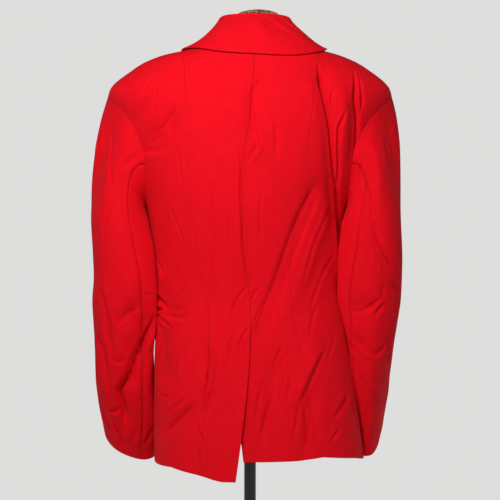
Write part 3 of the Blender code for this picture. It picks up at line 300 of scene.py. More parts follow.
BODY_CREASES = crease_table(
    (26, -83, 18, 0, -103, 893, -107, 877, -109, 858, -113, 840, -118, 817, -123, 791, -126, 763,
     -129, 733, -132, 710, -136, 684),
    (40, -53, 0, 0, -107, 877, -110, 858, -113, 843),
    (34, -105, 21, -1, -131, 713, -136, 684, -139, 653, -142, 616, -144, 581, -145, 544),
    (22, -60, 12, 0, -150, 821, -143, 804, -137, 786, -136, 756, -137, 728, -137, 702, -137, 679),
    (24, -72, 15, 0, -161, 887, -164, 862, -162, 834, -166, 808, -166, 773, -164, 742, -164, 724),
    (18, -39, 9, 0, -170, 880, -172, 855, -174, 830, -169, 808),
    (22, -24, 9, 0, -132, 857, -125, 832, -129, 805),
    (34, -20, 9, -1, -102, 705, -87, 677, -73, 649, -62, 622, -52, 594, -43, 566, -31, 535,
     -18, 504, -6, 465),
    (34, -15, 8, 1, -107, 693, -93, 659, -81, 628, -70, 600, -60, 569, -49, 538, -39, 511,
     -25, 480),
    (26, -15, 8, 0, -129, 679, -112, 639, -96, 600, -81, 546),
    (24, -14, 8, 0, -136, 600, -118, 572, -103, 538, -91, 499),
    (30, -33, 21, 1, -40, 881, -25, 868, -11, 854, -3, 838, -3, 812, -6, 787, -11, 762, -3, 745,
     8, 727),
    (40, -21, 0, 0, -38, 799, -41, 768, -38, 738),
    (17, -36, 12, 0, 24, 771, 18, 753, 13, 728, 14, 692, 12, 638, 11, 600, 6, 566, 6, 543),
    (20, -18, 6, 0, 55, 700, 57, 654, 54, 608, 56, 561, 52, 523),
    (22, -14, 4, 0, -18, 699, -15, 654, -18, 608),
    (18, -15, 6, 0, 37, 677, 32, 638, 34, 592),
    (24, -30, 12, 0, 0, 548, 11, 535, 20, 523, 26, 508, 28, 489),
    (22, -22, 9, 0, -17, 546, -8, 534, 0, 518),
    (24, -27, 10, 0, -2, 483, 9, 470, 15, 456, 17, 443),
    (22, -24, 9, 0, 23, 477, 29, 461, 32, 440, 31, 420),
    (20, -15, 6, 0, -20, 523, -9, 495, -3, 474),
    (22, -39, 12, 1, 113, 827, 119, 812, 127, 797, 138, 786, 150, 776),
    (45, -33, 12, 0, 125, 770, 140, 758, 156, 755, 172, 754),
    (30, -24, 6, 0, 132, 783, 143, 771, 158, 763),
    (16, -14, 4, 0, 98, 893, 95, 839, 95, 784, 92, 738),
    (20, -12, 6, 0, 55, 862, 43, 822, 31, 783, 21, 756),
    (16, -18, 6, 0, 112, 765, 108, 731, 105, 685),
    (22, -24, 8, 0, 154, 865, 165, 846, 175, 834),
    (20, -20, 6, 0, 143, 854, 146, 832, 152, 811),
    (17, -14, 4, 0, 131, 678, 112, 639, 99, 600),
    (20, -39, 15, 0, 150, 587, 141, 575, 137, 559, 141, 546),
    (18, -27, 12, 0, 156, 552, 148, 541, 141, 546),
    (30, -39, 15, 0, 158, 527, 146, 524, 136, 516, 126, 504),
    (24, -45, 18, 0, 156, 515, 146, 506, 132, 509),
    (30, -39, 18, 0, 132, 496, 117, 494, 107, 494, 96, 501),
    (20, -30, 15, 0, 148, 501, 139, 491, 125, 480, 118, 472),
    (24, -30, 12, 0, 96, 546, 109, 528, 117, 514),
    (22, -42, 15, 0, 155, 497, 149, 480, 145, 460),
    (20, -39, 15, 0, 142, 489, 139, 469, 142, 450, 146, 431),
    (20, -30, 12, 0, 132, 462, 132, 445, 135, 427),
    (24, -42, 21, 1, 111, 438, 113, 418, 117, 396, 124, 376),
    (22, -33, 12, 0, 139, 375, 130, 372, 122, 367),
    (22, -20, 9, 0, 94, 446, 100, 434, 105, 420),
    (26, -27, 14, 0, 92, 380, 104, 367, 116, 357, 125, 348),
    (34, -36, 15, -1, 78, 371, 92, 355, 108, 338, 124, 320, 139, 305),
    (15, -30, 9, 0, 66, 465, 63, 447, 61, 430, 64, 410, 67, 389, 69, 368, 67, 344),
    (15, -27, 9, 0, 60, 431, 55, 411, 57, 389, 64, 368, 65, 344),
    (20, -24, 9, 0, 82, 329, 76, 320, 70, 310),
    (24, -21, 9, 0, 79, 302, 78, 285, 79, 268),
    (24, -15, 8, 0, 34, 402, 30, 372, 32, 342),
    (22, -15, 6, 0, 43, 454, 43, 432, 38, 409),
    (34, -33, 27, -1, -118, 451, -106, 428, -93, 401, -81, 376, -73, 360),
    (24, -21, 8, 0, -55, 457, -46, 444, -37, 423),
    (26, -24, 10, 0, -21, 402, -15, 381, -11, 354, -12, 327),
    (30, -30, 12, 0, -38, 390, -29, 360, -21, 333, -15, 303),
    (24, -22, 12, 1, -51, 447, -46, 414, -47, 384, -42, 354),
    (28, -36, 21, 1, -82, 366, -85, 344, -87, 321, -84, 302, -81, 284),
    (26, -24, 9, 0, -73, 372, -71, 342, -65, 312),
    (34, -30, 12, 0, -153, 384, -146, 364, -134, 348, -124, 334),
    (24, -24, 8, 0, -142, 326, -132, 319, -121, 302),
    (22, -18, 8, 0, -58, 417, -61, 394, -55, 369),
    (26, -18, 8, 0, -106, 522, -96, 492, -91, 461),
    (22, -15, 6, 0, -133, 475, -126, 448, -117, 427),
    (22, -17, 6, 0, -33, 327, -33, 305, -30, 285),
)


def rounded(points):
    """The same path through five times as many points, with its corners rounded off."""
    places = np.linspace(0, len(points) - 1, (len(points) - 1) * 5 + 1)
    return rows_at(points, places).tolist()


def crease_depth(point, normal, creases):
    """How far the creases, which are all seen from behind, move each point along its normal."""
    look, axis = VIEWERS["back"]
    faces = smoothstep((normal @ np.array(look, float)) / 0.35)
    across, height = point[..., axis], point[..., 2]
    moved = np.zeros(across.shape)
    for crease in creases:
        path = np.array(crease.points)
        reach = abs(crease.width) * 5 + 0.002
        near = ((across > path[:, 0].min() - reach) & (across < path[:, 0].max() + reach)
                & (height > path[:, 1].min() - reach) & (height < path[:, 1].max() + reach))
        if not near.any():
            continue
        signed, along, length = along_path(across[near], height[near], rounded(crease.points))
        fade = min(0.028, 0.34 * length)
        ends = smoothstep(np.minimum(along, length - along) / fade)
        width = crease.width * (0.55 + 0.45 * ends)
        valley = crease.depth * np.exp(-np.abs(signed / width) ** 1.6)
        lip = 0.0
        for way in ((-1, 1) if crease.side == 0 else (crease.side,)):
            lip = lip + crease.lip * np.exp(-((signed * way - 2.1 * width) / (1.5 * width)) ** 2)
        moved[near] += (valley + lip) * ends
    return moved * faces


print("creases of the body:", len(BODY_CREASES))

# %% [markdown]
# ## The inside of the cloth at any place
# Two more things move the cloth. It ripples a little everywhere, since no worn jacket is
# pressed flat, and two layers lift: the right front laps over the left one, and the left
# back laps over the vent. On the shoulders and under the collar it lies flat.

# %% How far the cloth stands off the plain surface
SEAMS = (  # level, then the sideways place of centre back, left princess and right princess
    (0.0, 0.022, 0.078, -0.082), (1.0, 0.008, 0.070, -0.090), (2.0, 0.000, 0.064, -0.078),
    (3.0, 0.000, 0.066, -0.062), (4.0, 0.010, 0.083, -0.066), (5.0, 0.012, 0.091, -0.076),
    (6.0, 0.010, 0.095, -0.086), (7.0, 0.000, 0.098, -0.094), (8.0, -0.004, 0.100, -0.100),
    (9.0, -0.006, 0.102, -0.104), (10.0, -0.007, 0.104, -0.108), (11.0, -0.007, 0.104, -0.110),
    (12.0, -0.007, 0.104, -0.110),
)
OVERLAP, RIGHT_LIFT = 0.066, 0.0072
BODY_RIPPLE, SLEEVE_RIPPLE, LAPEL_RIPPLE = 0.00045, 0.00055, 0.0003
ROLL = {"height": (0.200, BREAK_Z, 0.891, 0.935),
        "left": (-OVERLAP, -OVERLAP, 0.0660, 0.0655), "right": (OVERLAP, OVERLAP, -0.0800, -0.0795)}


def seam_x(name, level):
    column = {"centre_back": 1, "princess_left": 2, "princess_right": 3}[name]
    return rows_at([[row[column]] for row in SEAMS], level)[..., 0]


def front_edge_x(side, height):
    return np.interp(height, ROLL["height"], ROLL[side])


def ripple(point, size):
    """A soft unevenness, the same each time, made of a few crossed waves."""
    x, y, z = np.moveaxis(point, -1, 0)
    bend = 0.012 * np.sin(z * 19 + x * 11) + 0.009 * np.sin(z * 31 - y * 23 + 1.7)
    waves = (np.sin((x + bend) * 118 + z * 21 + 0.4)
             + 0.8 * np.sin((y + bend) * 97 - z * 35 + 2.1)
             + 0.9 * np.sin(z * 74 + (x - y) * 44 + 1.1)
             + 0.6 * np.sin((x + y) * 171 + z * 63 + bend * 80))
    return size * waves / 3.3


def lift_left_back(angle, level, point):
    below = smoothstep((VENT_TOP_Z + 0.034 - point[..., 2]) / 0.028)
    swing = smoothstep((VENT_TOP_Z - point[..., 2]) / (VENT_TOP_Z - 0.25))
    seam = seam_x("centre_back", fit_to_hem(angle, level, "left"))
    near = 1 - smoothstep((point[..., 0] - seam - 0.022) / 0.034)
    return below * near * (CLOTH + SEAM_GAP + 0.0009 + 0.007 * swing)


def lift_right_front(angle, level, point):
    past_edge = point[..., 0] - front_edge_x("left", point[..., 2])
    return RIGHT_LIFT * smoothstep((past_edge + 0.046) / 0.032)


def no_lift(angle, level, point):
    return np.zeros(point.shape[:-1])


def front_lift(side):
    return lift_right_front if side == "right" else no_lift


def stand_off(angle, level, half="left", lift=no_lift, fine=True):
    """The plain point, its normal, and how far the inside of the cloth is from it."""
    angle, level = np.broadcast_arrays(np.asarray(angle, float), np.asarray(level, float))
    point, normal = body_and_normal(angle, level, half)
    loose = smoothstep((10.2 - level) / 1.2)
    height = fold_depth(point, normal, FOLDS) * loose
    if fine:
        seen = point + normal * height[..., None]
        free = smoothstep((11.2 - level) / 1.0)
        height = height + crease_depth(seen, normal, BODY_CREASES) * free
        height = height + ripple(point, BODY_RIPPLE) * loose
    return point, normal, height + lift(angle, level, point)


def inside_of(angle, level, half="left", lift=no_lift, fine=True):
    point, normal, height = stand_off(angle, level, half, lift, fine)
    return point + normal * height[..., None]


print("ripple of", BODY_RIPPLE * 1000, "mm, right front lifted", RIGHT_LIFT, "m")

# %% [markdown]
# ## Seams and edges as lines on the surface
# The jacket is cut as a tailor cuts it: two backs that meet in the centre back seam, two
# side backs between the princess seams and the armholes, and two fronts. Each seam is a
# list of sideways places by level, and the front edge runs straight up to the break,
# then slants off along the line where the lapel rolls back.

# %% Where seams and edges run
FRONT_MIDDLE = {"left": -90.0, "right": 270.0}      # each front counts from its own side


def angle_at_x(x, level, front=False):
    """Angle of the body point at a sideways place, on the back or the front."""
    _, _, _, left, right, _, _, square = np.moveaxis(
        rows_at([ring[1:] for ring in RINGS], level), -1, 0)
    share = np.clip((x - (left - right) / 2) / ((left + right) / 2), -1, 1)
    angle = np.degrees(np.arccos(np.sign(share) * np.abs(share) ** (square / 2)))
    return 360 - angle if front else angle


def armhole_angle(level, widest):
    """How far the armhole reaches from the side seam at a level."""
    share = np.clip((level - ARMPIT_LEVEL) / (POINT_LEVEL - ARMPIT_LEVEL), 0, 1)
    return widest * np.sin(np.pi * share) ** 0.62


def seam_angle(name, level, half, reach=0.0):
    angle = angle_at_x(seam_x(name, level), level)
    for _ in range(4):
        fitted = fit_to_hem(angle, level, half)
        angle = angle_at_x(seam_x(name, fitted) + reach, fitted)
    return angle


def front_angle(side, x, angle, level):
    """A better angle for a front's point at a sideways place, from a first guess."""
    angle = angle_at_x(x, fit_to_hem(angle, level, side), front=True)
    return angle - 360 if side == "left" else angle


def front_edge_angle(side, level):
    """Angle of a front's free edge: the overlap below the break, the roll line above."""
    level = np.asarray(level, float)
    height = rows_at([[ring.front] for ring in RINGS], level)[..., 0]
    angle = FRONT_MIDDLE[side]
    for _ in range(8):
        angle = front_angle(side, front_edge_x(side, height), angle, level)
        height = plain_body(angle, level, side)[..., 2]
    return angle


def front_place(side, x, height):
    """Angle and level of the front's point at a sideways place and a height."""
    x, height = np.asarray(x, float), np.asarray(height, float)
    low, high = np.zeros(x.shape), np.full(x.shape, NECK_LEVEL)
    angle = FRONT_MIDDLE[side]
    for _ in range(26):
        level = (low + high) / 2
        angle = front_angle(side, x, angle, level)
        above = plain_body(angle, level, side)[..., 2] > height
        high, low = np.where(above, level, high), np.where(above, low, level)
    return angle, level


def vent_open(height):
    """0 where the centre back seam is closed, above the vent's top, and 1 below it."""
    return smoothstep((VENT_TOP_Z + 0.004 - height) / 0.012)


def underlap_angle(level):
    """Edge of the right back: the seam above the vent, and an underlap beneath it."""
    height = plain_body(seam_angle("centre_back", level, "right"), level, "right")[:, 2]
    reach = np.interp(height, (0.270, 0.330, VENT_TOP_Z), (-0.009, 0.006, 0.022))
    return seam_angle("centre_back", level, "right", reach * vent_open(height))


print("front edge at the hem:", round(float(front_edge_angle("right", HEM_LEVEL)), 1), "degrees")

# %% [markdown]
# ## Cloth with two faces
# A single surface would show a paper-thin edge. Real jacket cloth with its fusing is
# about 2 mm thick, and its edges are turned under, so they are round. Each panel is made
# as a closed wall: an outer face, an inner face, and a rim between them. Solidify could
# do this, but in a sharp crease its inner face folds through itself. Here the inner face
# follows the deepest place nearby, which keeps the wall whole.

# %% The cloth maker
EDGE_STEPS = (0.0, 0.0005, 0.0012, 0.0022)
ROUND_EDGE, GROOVE_DEPTH, GROOVE_WIDTH, EDGE_SHADE_AND_PRESS_WIDTH = 0.0014, 0.00030, 0.0012, 0.0035
MITRE_FADE, SHUT_GAP = 0.009, 0.00004
ALL = slice(None)
EDGE_AND_NEXT = {"left": ((ALL, 0), (ALL, 1)), "top": (-1, -2), "right": ((ALL, -1), (ALL, -2))}
pieces_made = {}


def stations(length, count):
    """Places along a length, close together beside both ends."""
    near = np.array(EDGE_STEPS) * np.minimum(1, length / 0.022)
    middle = np.linspace(near[-1], length - near[-1], count - 2 * (len(near) - 1))
    return np.concatenate([near[:-1], middle, length - near[-2::-1]])


def lowest_near(height):
    """The lowest value within one grid step."""
    padded = np.pad(height, 1, mode="edge")
    rows, columns = height.shape
    return np.min([padded[r:r + rows, c:c + columns] for r in range(3) for c in range(3)], axis=0)


def walked(points, axis):
    """Distance along the rows or the columns of a grid, from its first point."""
    steps = np.linalg.norm(np.diff(points, axis=axis), axis=-1)
    pad = [(0, 0), (0, 0)]
    pad[axis] = (1, 0)
    return np.pad(np.cumsum(steps, axis=axis), pad)


def edge_distances(points):
    across, along = walked(points, 1), walked(points, 0)
    return {"left": across, "right": across[:, -1:] - across,
            "bottom": along, "top": along[-1:] - along}


def drawn_in(distance, radius):
    """How far a round edge draws in: 1 at the edge itself, 0 from a radius inwards."""
    return 1 - np.sqrt(1 - (1 - np.clip(distance / radius, 0, 1)) ** 2)


def new_piece(name, mesh):
    """An object for a mesh, kept in the list of pieces."""
    piece = bpy.data.objects.new(name, mesh)
    bpy.context.scene.collection.objects.link(piece)
    pieces_made[name] = piece
    return piece


def close_wall(name, outer, inner, materials, grain, rim):
    """Makes the mesh of a wall, with its grain as a UV map and its rim as an attribute."""
    rows, columns = outer.shape[:2]
    index = np.arange(rows * columns).reshape(rows, columns)
    out = np.stack([index[:-1, :-1], index[:-1, 1:], index[1:, 1:], index[1:, :-1]], -1)
    out = out.reshape(-1, 4)
    loop = np.concatenate([index[0], index[1:, -1], index[-1, -2::-1], index[-2:0:-1, 0]])
    after, far = np.roll(loop, -1), rows * columns
    edge = np.stack([after, loop, loop + far, after + far], -1)
    faces = np.concatenate([out, out[:, ::-1] + far, edge])
    mesh = bpy.data.meshes.new(name)
    points = np.concatenate([outer.reshape(-1, 3), inner.reshape(-1, 3)])
    a, b, c, d = (points[faces[:, k]] for k in range(4))
    if (np.cross(c - a, d - b) * (a + b + c + d)).sum() < 0:
        faces = faces[:, ::-1]
    mesh.from_pydata(points.tolist(), [], faces.tolist())
    for material in materials:
        mesh.materials.append(material)
    if len(materials) > 1:
        slots = np.zeros(len(faces), int)
        slots[len(out):2 * len(out)] = 1
        mesh.polygons.foreach_set("material_index", slots)
    flat = np.concatenate([grain.reshape(-1, 2)] * 2)
    corners = np.empty(len(mesh.loops), int)
    mesh.loops.foreach_get("vertex_index", corners)
    mesh.uv_layers.new(name="grain").data.foreach_set("uv", flat[corners].ravel())
    mesh.attributes.new("rim", "FLOAT", "POINT").data.foreach_set(
        "value", np.concatenate([rim.ravel()] * 2).astype(np.float32))
    mesh.shade_smooth()
    return new_piece(name, mesh)


def finish_sheet(name, sheet, far, outer, inner, materials, rim):
    """Closes the wall round a sheet, and prints how large the sheet is when it lies flat."""
    grain = np.stack([far["left"] - far["left"][:, -1:] / 2, far["bottom"]], -1)
    piece = close_wall(name, outer, inner, materials, grain, rim)
    steps = np.cross(sheet[1:, :-1] - sheet[:-1, :-1], sheet[:-1, 1:] - sheet[:-1, :-1])
    print("%-22s %6d faces, flat %.3f x %.3f m, %.4f m2" % (
        name, len(piece.data.polygons), far["left"][:, -1].max(), far["bottom"][-1].max(),
        np.linalg.norm(steps, axis=-1).sum()))


def make_cloth(name, base, normal, height, edges, mitre=None, lining_gap=SEAM_GAP):
    """A panel of cloth. edges says how each side ends: seam, free, or how much of each
    along that side. mitre is the way through both walls where a sleeve is set in.
    lining_gap is the gap that a seam leaves on the inside, where no light may pass."""
    far = edge_distances(base)
    low = lowest_near(height)
    outer = base + normal * (height + CLOTH)[..., None]
    inner = base + normal * low[..., None]
    fat, groove, rim = np.ones(height.shape), np.zeros(height.shape), np.zeros(height.shape)
    for side, shares in edges.items():
        shape = (-1, 1) if side in ("left", "right") else (1, -1)
        seam, free = (np.asarray(share, float).reshape(shape) for share in shares)
        fat *= 1 - free * 0.72 * drawn_in(far[side], ROUND_EDGE)
        groove += seam * GROOVE_DEPTH * np.exp(-((far[side] / GROOVE_WIDTH) ** 2))
        # rim marks seams and free edges: the cloth is smoother there, and its colour gets painted
        # shade.
        rim = np.maximum(rim, (free + seam) * np.exp(-far[side] / EDGE_SHADE_AND_PRESS_WIDTH))
    middle, half = (outer + inner) / 2, (outer - inner) / 2
    outer = middle + half * fat[..., None] - normal * groove[..., None]
    inner = middle - half * fat[..., None]
    if mitre is not None:
        side, through, rows = mitre
        edge = EDGE_AND_NEXT[side][0]
        seat = (base + normal * height[..., None])[edge]
        fade = smoothstep(1 - far[side] / MITRE_FADE)[..., None]
        for layer, goal in ((outer, seat + through), (inner, seat)):
            shift = np.where(rows[:, None], goal - layer[edge], 0)
            layer += fade * (shift[:, None] if side in ("left", "right") else shift[None])
    for layer, gap in ((outer, SEAM_GAP), (inner, lining_gap)):
        for side, (here, there) in EDGE_AND_NEXT.items():
            if side in edges:
                layer[here] += unit(layer[there] - layer[here]) * gap / 2
    finish_sheet(name, base, far, outer, inner, (jacket_cloth, lining), rim)


print("cloth of", CLOTH * 1000, "mm, with", GROOVE_DEPTH * 1000, "mm deep seams")

# %% [markdown]
# ## Finishes written as formulas
# A material is a picture drawn by sums: a weave is two crossed waves, a slub is
# stretched noise. In the shader editor each sum is a Math node, and the pattern gets lost
# among the wires. So one small class wraps a socket and gives it +, - and *, and a
# pattern then reads as it would on paper. Every other node comes from one method.

# %% The sum maker and the material bench
class Strand:
    """A socket of a material, which can be used in sums."""

    def __init__(self, bench, socket):
        self.bench, self.socket = bench, socket

    def sum(self, operation, *others):
        return self.bench.node("ShaderNodeMath", {"operation": operation},
                               {place: value for place, value in enumerate((self, *others))})

    def __add__(self, other): return self.sum("ADD", other)
    def __radd__(self, other): return self.sum("ADD", other)
    def __sub__(self, other): return self.sum("SUBTRACT", other)
    def __rsub__(self, other): return self.bench.strand(other).sum("SUBTRACT", self)
    def __mul__(self, other): return self.sum("MULTIPLY", other)
    def wave(self): return self.sum("SINE")
    def clamp(self): return self.sum("MAXIMUM", 0.0).sum("MINIMUM", 1.0)

    def step(self, low, high):
        """0 below low, 1 above high, and smooth between them."""
        return self.bench.node("ShaderNodeMapRange", {"interpolation_type": "SMOOTHSTEP"},
                               {"Value": self, "From Min": low, "From Max": high})


class Bench:
    """A material, and one method for every node in it."""

    def __init__(self, name, **constants):
        self.material = bpy.data.materials.new(name)
        self.material.use_nodes = True
        self.nodes, self.links = self.material.node_tree.nodes, self.material.node_tree.links
        self.shader = self.nodes["Principled BSDF"]
        for socket, value in constants.items():
            self.shader.inputs[socket.replace("_", " ")].default_value = value

    def node(self, kind, settings=None, values=None, output=0):
        made = self.nodes.new(kind)
        for setting, value in (settings or {}).items():
            setattr(made, setting, value)
        for socket, value in (values or {}).items():
            if isinstance(value, Strand):
                self.links.new(value.socket, made.inputs[socket])
            else:
                made.inputs[socket].default_value = value
        return Strand(self, made.outputs[output])

    def strand(self, number):
        return self.node("ShaderNodeMath", {"operation": "ADD"}, {0: number, 1: 0.0})

    def place(self):
        return self.node("ShaderNodeTexCoord", output="Object")

    def attribute(self, name):
        return self.node("ShaderNodeAttribute", {"attribute_name": name}, output="Fac")

    def grain(self):
        """Across and along the cloth, in metres from the panel's middle and its lower edge."""
        both = self.node("ShaderNodeUVMap", {"uv_map": "grain"})
        return both, *self.parts(both, (0, 1))

    def parts(self, where, wanted):
        """The wanted parts of a place: 0 for X, 1 for Y, 2 for Z."""
        return [self.node("ShaderNodeSeparateXYZ", values={0: where}, output=k) for k in wanted]

    def noise(self, where, scale, detail=3.0, roughness=0.5):
        return self.node("ShaderNodeTexNoise", values={
            "Vector": where, "Scale": scale, "Detail": detail, "Roughness": roughness})

    def stretched(self, where, scales):
        return self.node("ShaderNodeMapping", values={"Vector": where, "Scale": scales})

    def blend(self, share, first, second):
        colours = {6: (*first, 1) if isinstance(first, tuple) else first,
                   7: (*second, 1) if isinstance(second, tuple) else second}
        return self.node("ShaderNodeMix", {"data_type": "RGBA"}, {0: share, **colours}, output=2)

    def use(self, colour=None, roughness=None, height=None, depth=0.0001, strength=1.0):
        for socket, value in (("Base Color", colour), ("Roughness", roughness)):
            if value is not None:
                self.links.new(value.socket, self.shader.inputs[socket])
        if height is not None:
            bump = self.node("ShaderNodeBump", values={
                "Height": height, "Distance": depth, "Strength": strength})
            self.links.new(bump.socket, self.shader.inputs["Normal"])
        return self.material


print("bench ready")

# %% [markdown]
# ## Red jacket cloth
# The cloth is a fine, smooth worsted weave in bright red. Close up it is a lattice of
# threads 0.6 mm apart, some a little thicker than others; from across a room only a
# faint cloudiness is left. A flat red would look like plastic, so the colour, the
# roughness and the bump all follow the threads. Pressed edges and seams are smoother,
# and their colour is painted a touch darker as painted shade in the seam grooves and on
# the turned edges; the attribute named rim tells the material where they are.

# %% Jacket cloth
TURN = 2 * math.pi
WARP, WEFT, TWILL = 0.00062, 0.00056, 0.0011      # how far apart the threads and the ribs are


def jacket_cloth_finish():
    bench = Bench("worsted_red", Sheen_Weight=0.01, Sheen_Roughness=0.5, Specular_IOR_Level=0.07)
    where, across, along = bench.grain()
    weave = (across * (TURN / WARP)).wave() * (along * (TURN / WEFT)).wave()
    twill = ((across + along) * (TURN / TWILL)).wave()
    slub_up = bench.noise(bench.stretched(where, (1500.0, 34.0, 1.0)), 1.0, 2.0)
    slub_across = bench.noise(bench.stretched(where, (40.0, 1700.0, 1.0)), 1.0, 2.0)
    slub = slub_up * 0.5 + slub_across * 0.5
    cloud = bench.noise(bench.place(), 46.0, 4.0, 0.6)
    rim = bench.attribute("rim")
    # rim * 0.07 is painted shade: it darkens the colour along seams and turned edges.
    shade = (slub * 1.1 + cloud * 0.5 - 0.3 + weave * 0.05 - rim * 0.07).clamp()
    colour = bench.blend(shade, (0.600, 0.0012, 0.0072), (0.880, 0.0030, 0.0125))
    roughness = 0.84 - slub * 0.12 - rim * 0.10 + cloud * 0.04
    height = weave * 0.5 + twill * 0.15 + slub * 0.9
    return bench.use(colour, roughness, height, depth=0.00022, strength=0.55)


jacket_cloth = jacket_cloth_finish()
print("jacket cloth nodes:", len(jacket_cloth.node_tree.nodes))

# %% [markdown]
# ## Lining
# The inside of a tailored jacket is covered by a thin satin lining. Only a little of it
# shows, in the cuffs, under the vent and inside the hem. Satin is smoother than the
# outer cloth and its long threads catch the light along one way, so its roughness is
# low and its noise is drawn out along the cloth.

# %% Lining
def lining_finish():
    bench = Bench("jacket_lining", Specular_IOR_Level=0.35)
    where = bench.grain()[0]
    threads = bench.noise(bench.stretched(where, (2600.0, 22.0, 1.0)), 1.0, 2.0)
    cloud = bench.noise(bench.place(), 30.0, 3.0)
    colour = bench.blend((threads * 0.6 + cloud * 0.5).clamp(),
                         (0.22, 0.004, 0.008), (0.36, 0.008, 0.014))
    return bench.use(colour, 0.50 - threads * 0.16, threads, depth=0.00008, strength=0.35)


lining = lining_finish()
print("lining nodes:", len(lining.node_tree.nodes))

# %% [markdown]
# ## Back panels
# Each back runs from the centre back seam to its princess seam, and each side back from
# there to the armhole and the side seam. The panels of one seam use the same rows, so
# their edges meet all the way up. Below the vent's top the centre seam is open: the left
# back's edge is free there and laps over the right back's underlap.

# %% Rows and columns of the panels
HALVES = (("left", 1, 0.0), ("right", -1, 180.0))      # name, sign of X, angle of the side
BACK_STEP, FRONT_ROW_STEP, FRONT_COLUMN_STEP = 0.0021, 0.0036, 0.0040
RULER_ANGLE, ARMHOLE_LENGTH = 60.0, 0.196


def arc_levels(low, high, step):
    """Levels from low to high, an even distance apart on the cloth behind."""
    tried = np.linspace(low, high, 400)
    length = walked(plain_body(np.full(400, RULER_ANGLE), tried)[:, None], 0)[:, 0]
    return np.interp(np.linspace(0, length[-1], round(length[-1] / step) + 1), length, tried)


def armhole_levels(count):
    """Closer together at the armpit and the shoulder, where the armhole turns."""
    turn = 1 - np.cos(np.pi * np.linspace(0, 1, count))
    return ARMPIT_LEVEL + (POINT_LEVEL - ARMPIT_LEVEL) * turn / 2


def panel_levels(step):
    skirt = arc_levels(HEM_LEVEL, ARMPIT_LEVEL, step)
    near_hem = skirt[0] + np.array([0.0005, 0.0012]) / step * (skirt[1] - skirt[0])
    top = arc_levels(POINT_LEVEL, NECK_LEVEL, step)
    arm = armhole_levels(round(ARMHOLE_LENGTH / step))
    return np.concatenate([skirt[:1], near_hem, skirt[1:], arm[1:-1], top])


def panel_grid(starts, ends, levels, step, half):
    """Angles and levels from one seam to another, spread evenly on the cloth."""
    share = np.linspace(0, 1, 91)
    angles = starts[:, None] + (ends - starts)[:, None] * share
    flat = np.broadcast_to(levels[:, None], angles.shape)
    length = walked(plain_body(angles, flat, half), 1)
    count = round(length[:, -1].max() / step) + 7
    spread = np.stack([np.interp(stations(row[-1], count), row, angle)
                       for row, angle in zip(length, angles)])
    return spread, np.broadcast_to(levels[:, None], spread.shape)


BACK_LEVELS = panel_levels(BACK_STEP)
FRONT_LEVELS = panel_levels(FRONT_ROW_STEP)
print("rows of the backs and the fronts:", len(BACK_LEVELS), len(FRONT_LEVELS))

# %% The way through both walls at an armhole
def seam_frames(angle, level, half):
    """At points of the armhole seam: the point, the way through both walls at their
    shared rim, and the way the sleeve leaves."""
    point, normal, height = stand_off(angle, level, half)
    coarse = inside_of(angle, level, half, fine=False)
    folded = normals_of(lambda a, l: inside_of(a, l, half, fine=False), angle, level)
    point = point + normal * height[..., None]
    away = np.stack([np.copysign(0.205, coarse[..., 0]), np.zeros(angle.shape),
                     np.full(angle.shape, 0.765)], -1) - coarse
    away = unit(away - folded * np.sum(away * folded, -1, keepdims=True))
    share = (level - ARMPIT_LEVEL) / (POINT_LEVEL - ARMPIT_LEVEL)
    turn = np.radians(8 + 84 * (1 - share) ** 1.2)[..., None]
    leaving = away * np.cos(turn) + folded * np.sin(turn)
    sleeve_normal = folded * np.cos(turn) - away * np.sin(turn)
    through = (folded + sleeve_normal) / (1 + np.cos(turn)) * CLOTH
    return point, through, leaving


def armhole_mitre(angles, levels, half, side):
    """The mitre of a panel's edge beside the sleeve, for the rows that have one."""
    rows = (levels >= ARMPIT_LEVEL) & (levels <= POINT_LEVEL)
    _, through, _ = seam_frames(angles, np.clip(levels, ARMPIT_LEVEL, POINT_LEVEL), half)
    return side, through, rows


def make_panel(name, half, starts, ends, levels, step, edges, lift=no_lift, armhole=None):
    angles, flat = panel_grid(starts, ends, levels, step, half)
    base, normal, height = stand_off(angles, flat, half, lift)
    mitre = None
    if armhole is not None:
        column = 0 if armhole == "left" else -1
        mitre = armhole_mitre(angles[:, column], levels, half, armhole)
    make_cloth(name, base, normal, height, edges, mitre)


SEAM, FREE = (1, 0), (0, 1)
ARMHOLE_BACK, ARMHOLE_FRONT = 29.0, 30.0
print("rows with a mitre:",
      int(((BACK_LEVELS >= ARMPIT_LEVEL) & (BACK_LEVELS <= POINT_LEVEL)).sum()))

# %% Backs and side backs
def back_panels():
    for side, sign, rim in HALVES:
        princess = seam_angle("princess_" + side, BACK_LEVELS, side)
        arm = rim + sign * armhole_angle(BACK_LEVELS, ARMHOLE_BACK)
        if side == "left":
            middle, lift = seam_angle("centre_back", BACK_LEVELS, side), lift_left_back
        else:
            middle, lift = underlap_angle(BACK_LEVELS), no_lift
        open_share = vent_open(plain_body(middle, BACK_LEVELS, side)[:, 2])
        edges = {"left": (1 - open_share, open_share), "right": SEAM, "bottom": FREE, "top": FREE}
        make_panel("cloth_back_" + side, side, middle, princess, BACK_LEVELS, BACK_STEP,
                   edges, lift)
        wide = np.abs(princess - arm) > 0.9
        make_panel("cloth_side_back_" + side, side, princess[wide], arm[wide], BACK_LEVELS[wide],
                   BACK_STEP, {"left": SEAM, "right": SEAM, "bottom": FREE}, armhole="right")


back_panels()

# %% [markdown]
# ## Fronts
# The fronts lie under the wearer's hands and are what makes the jacket double-breasted:
# each runs 66 mm past the centre, and the right one laps over the left. Above the break
# their edge is the line where the lapel rolls back, so nothing is rounded off there.
# Their folds are broad ones only, so their rows and columns may lie further apart.

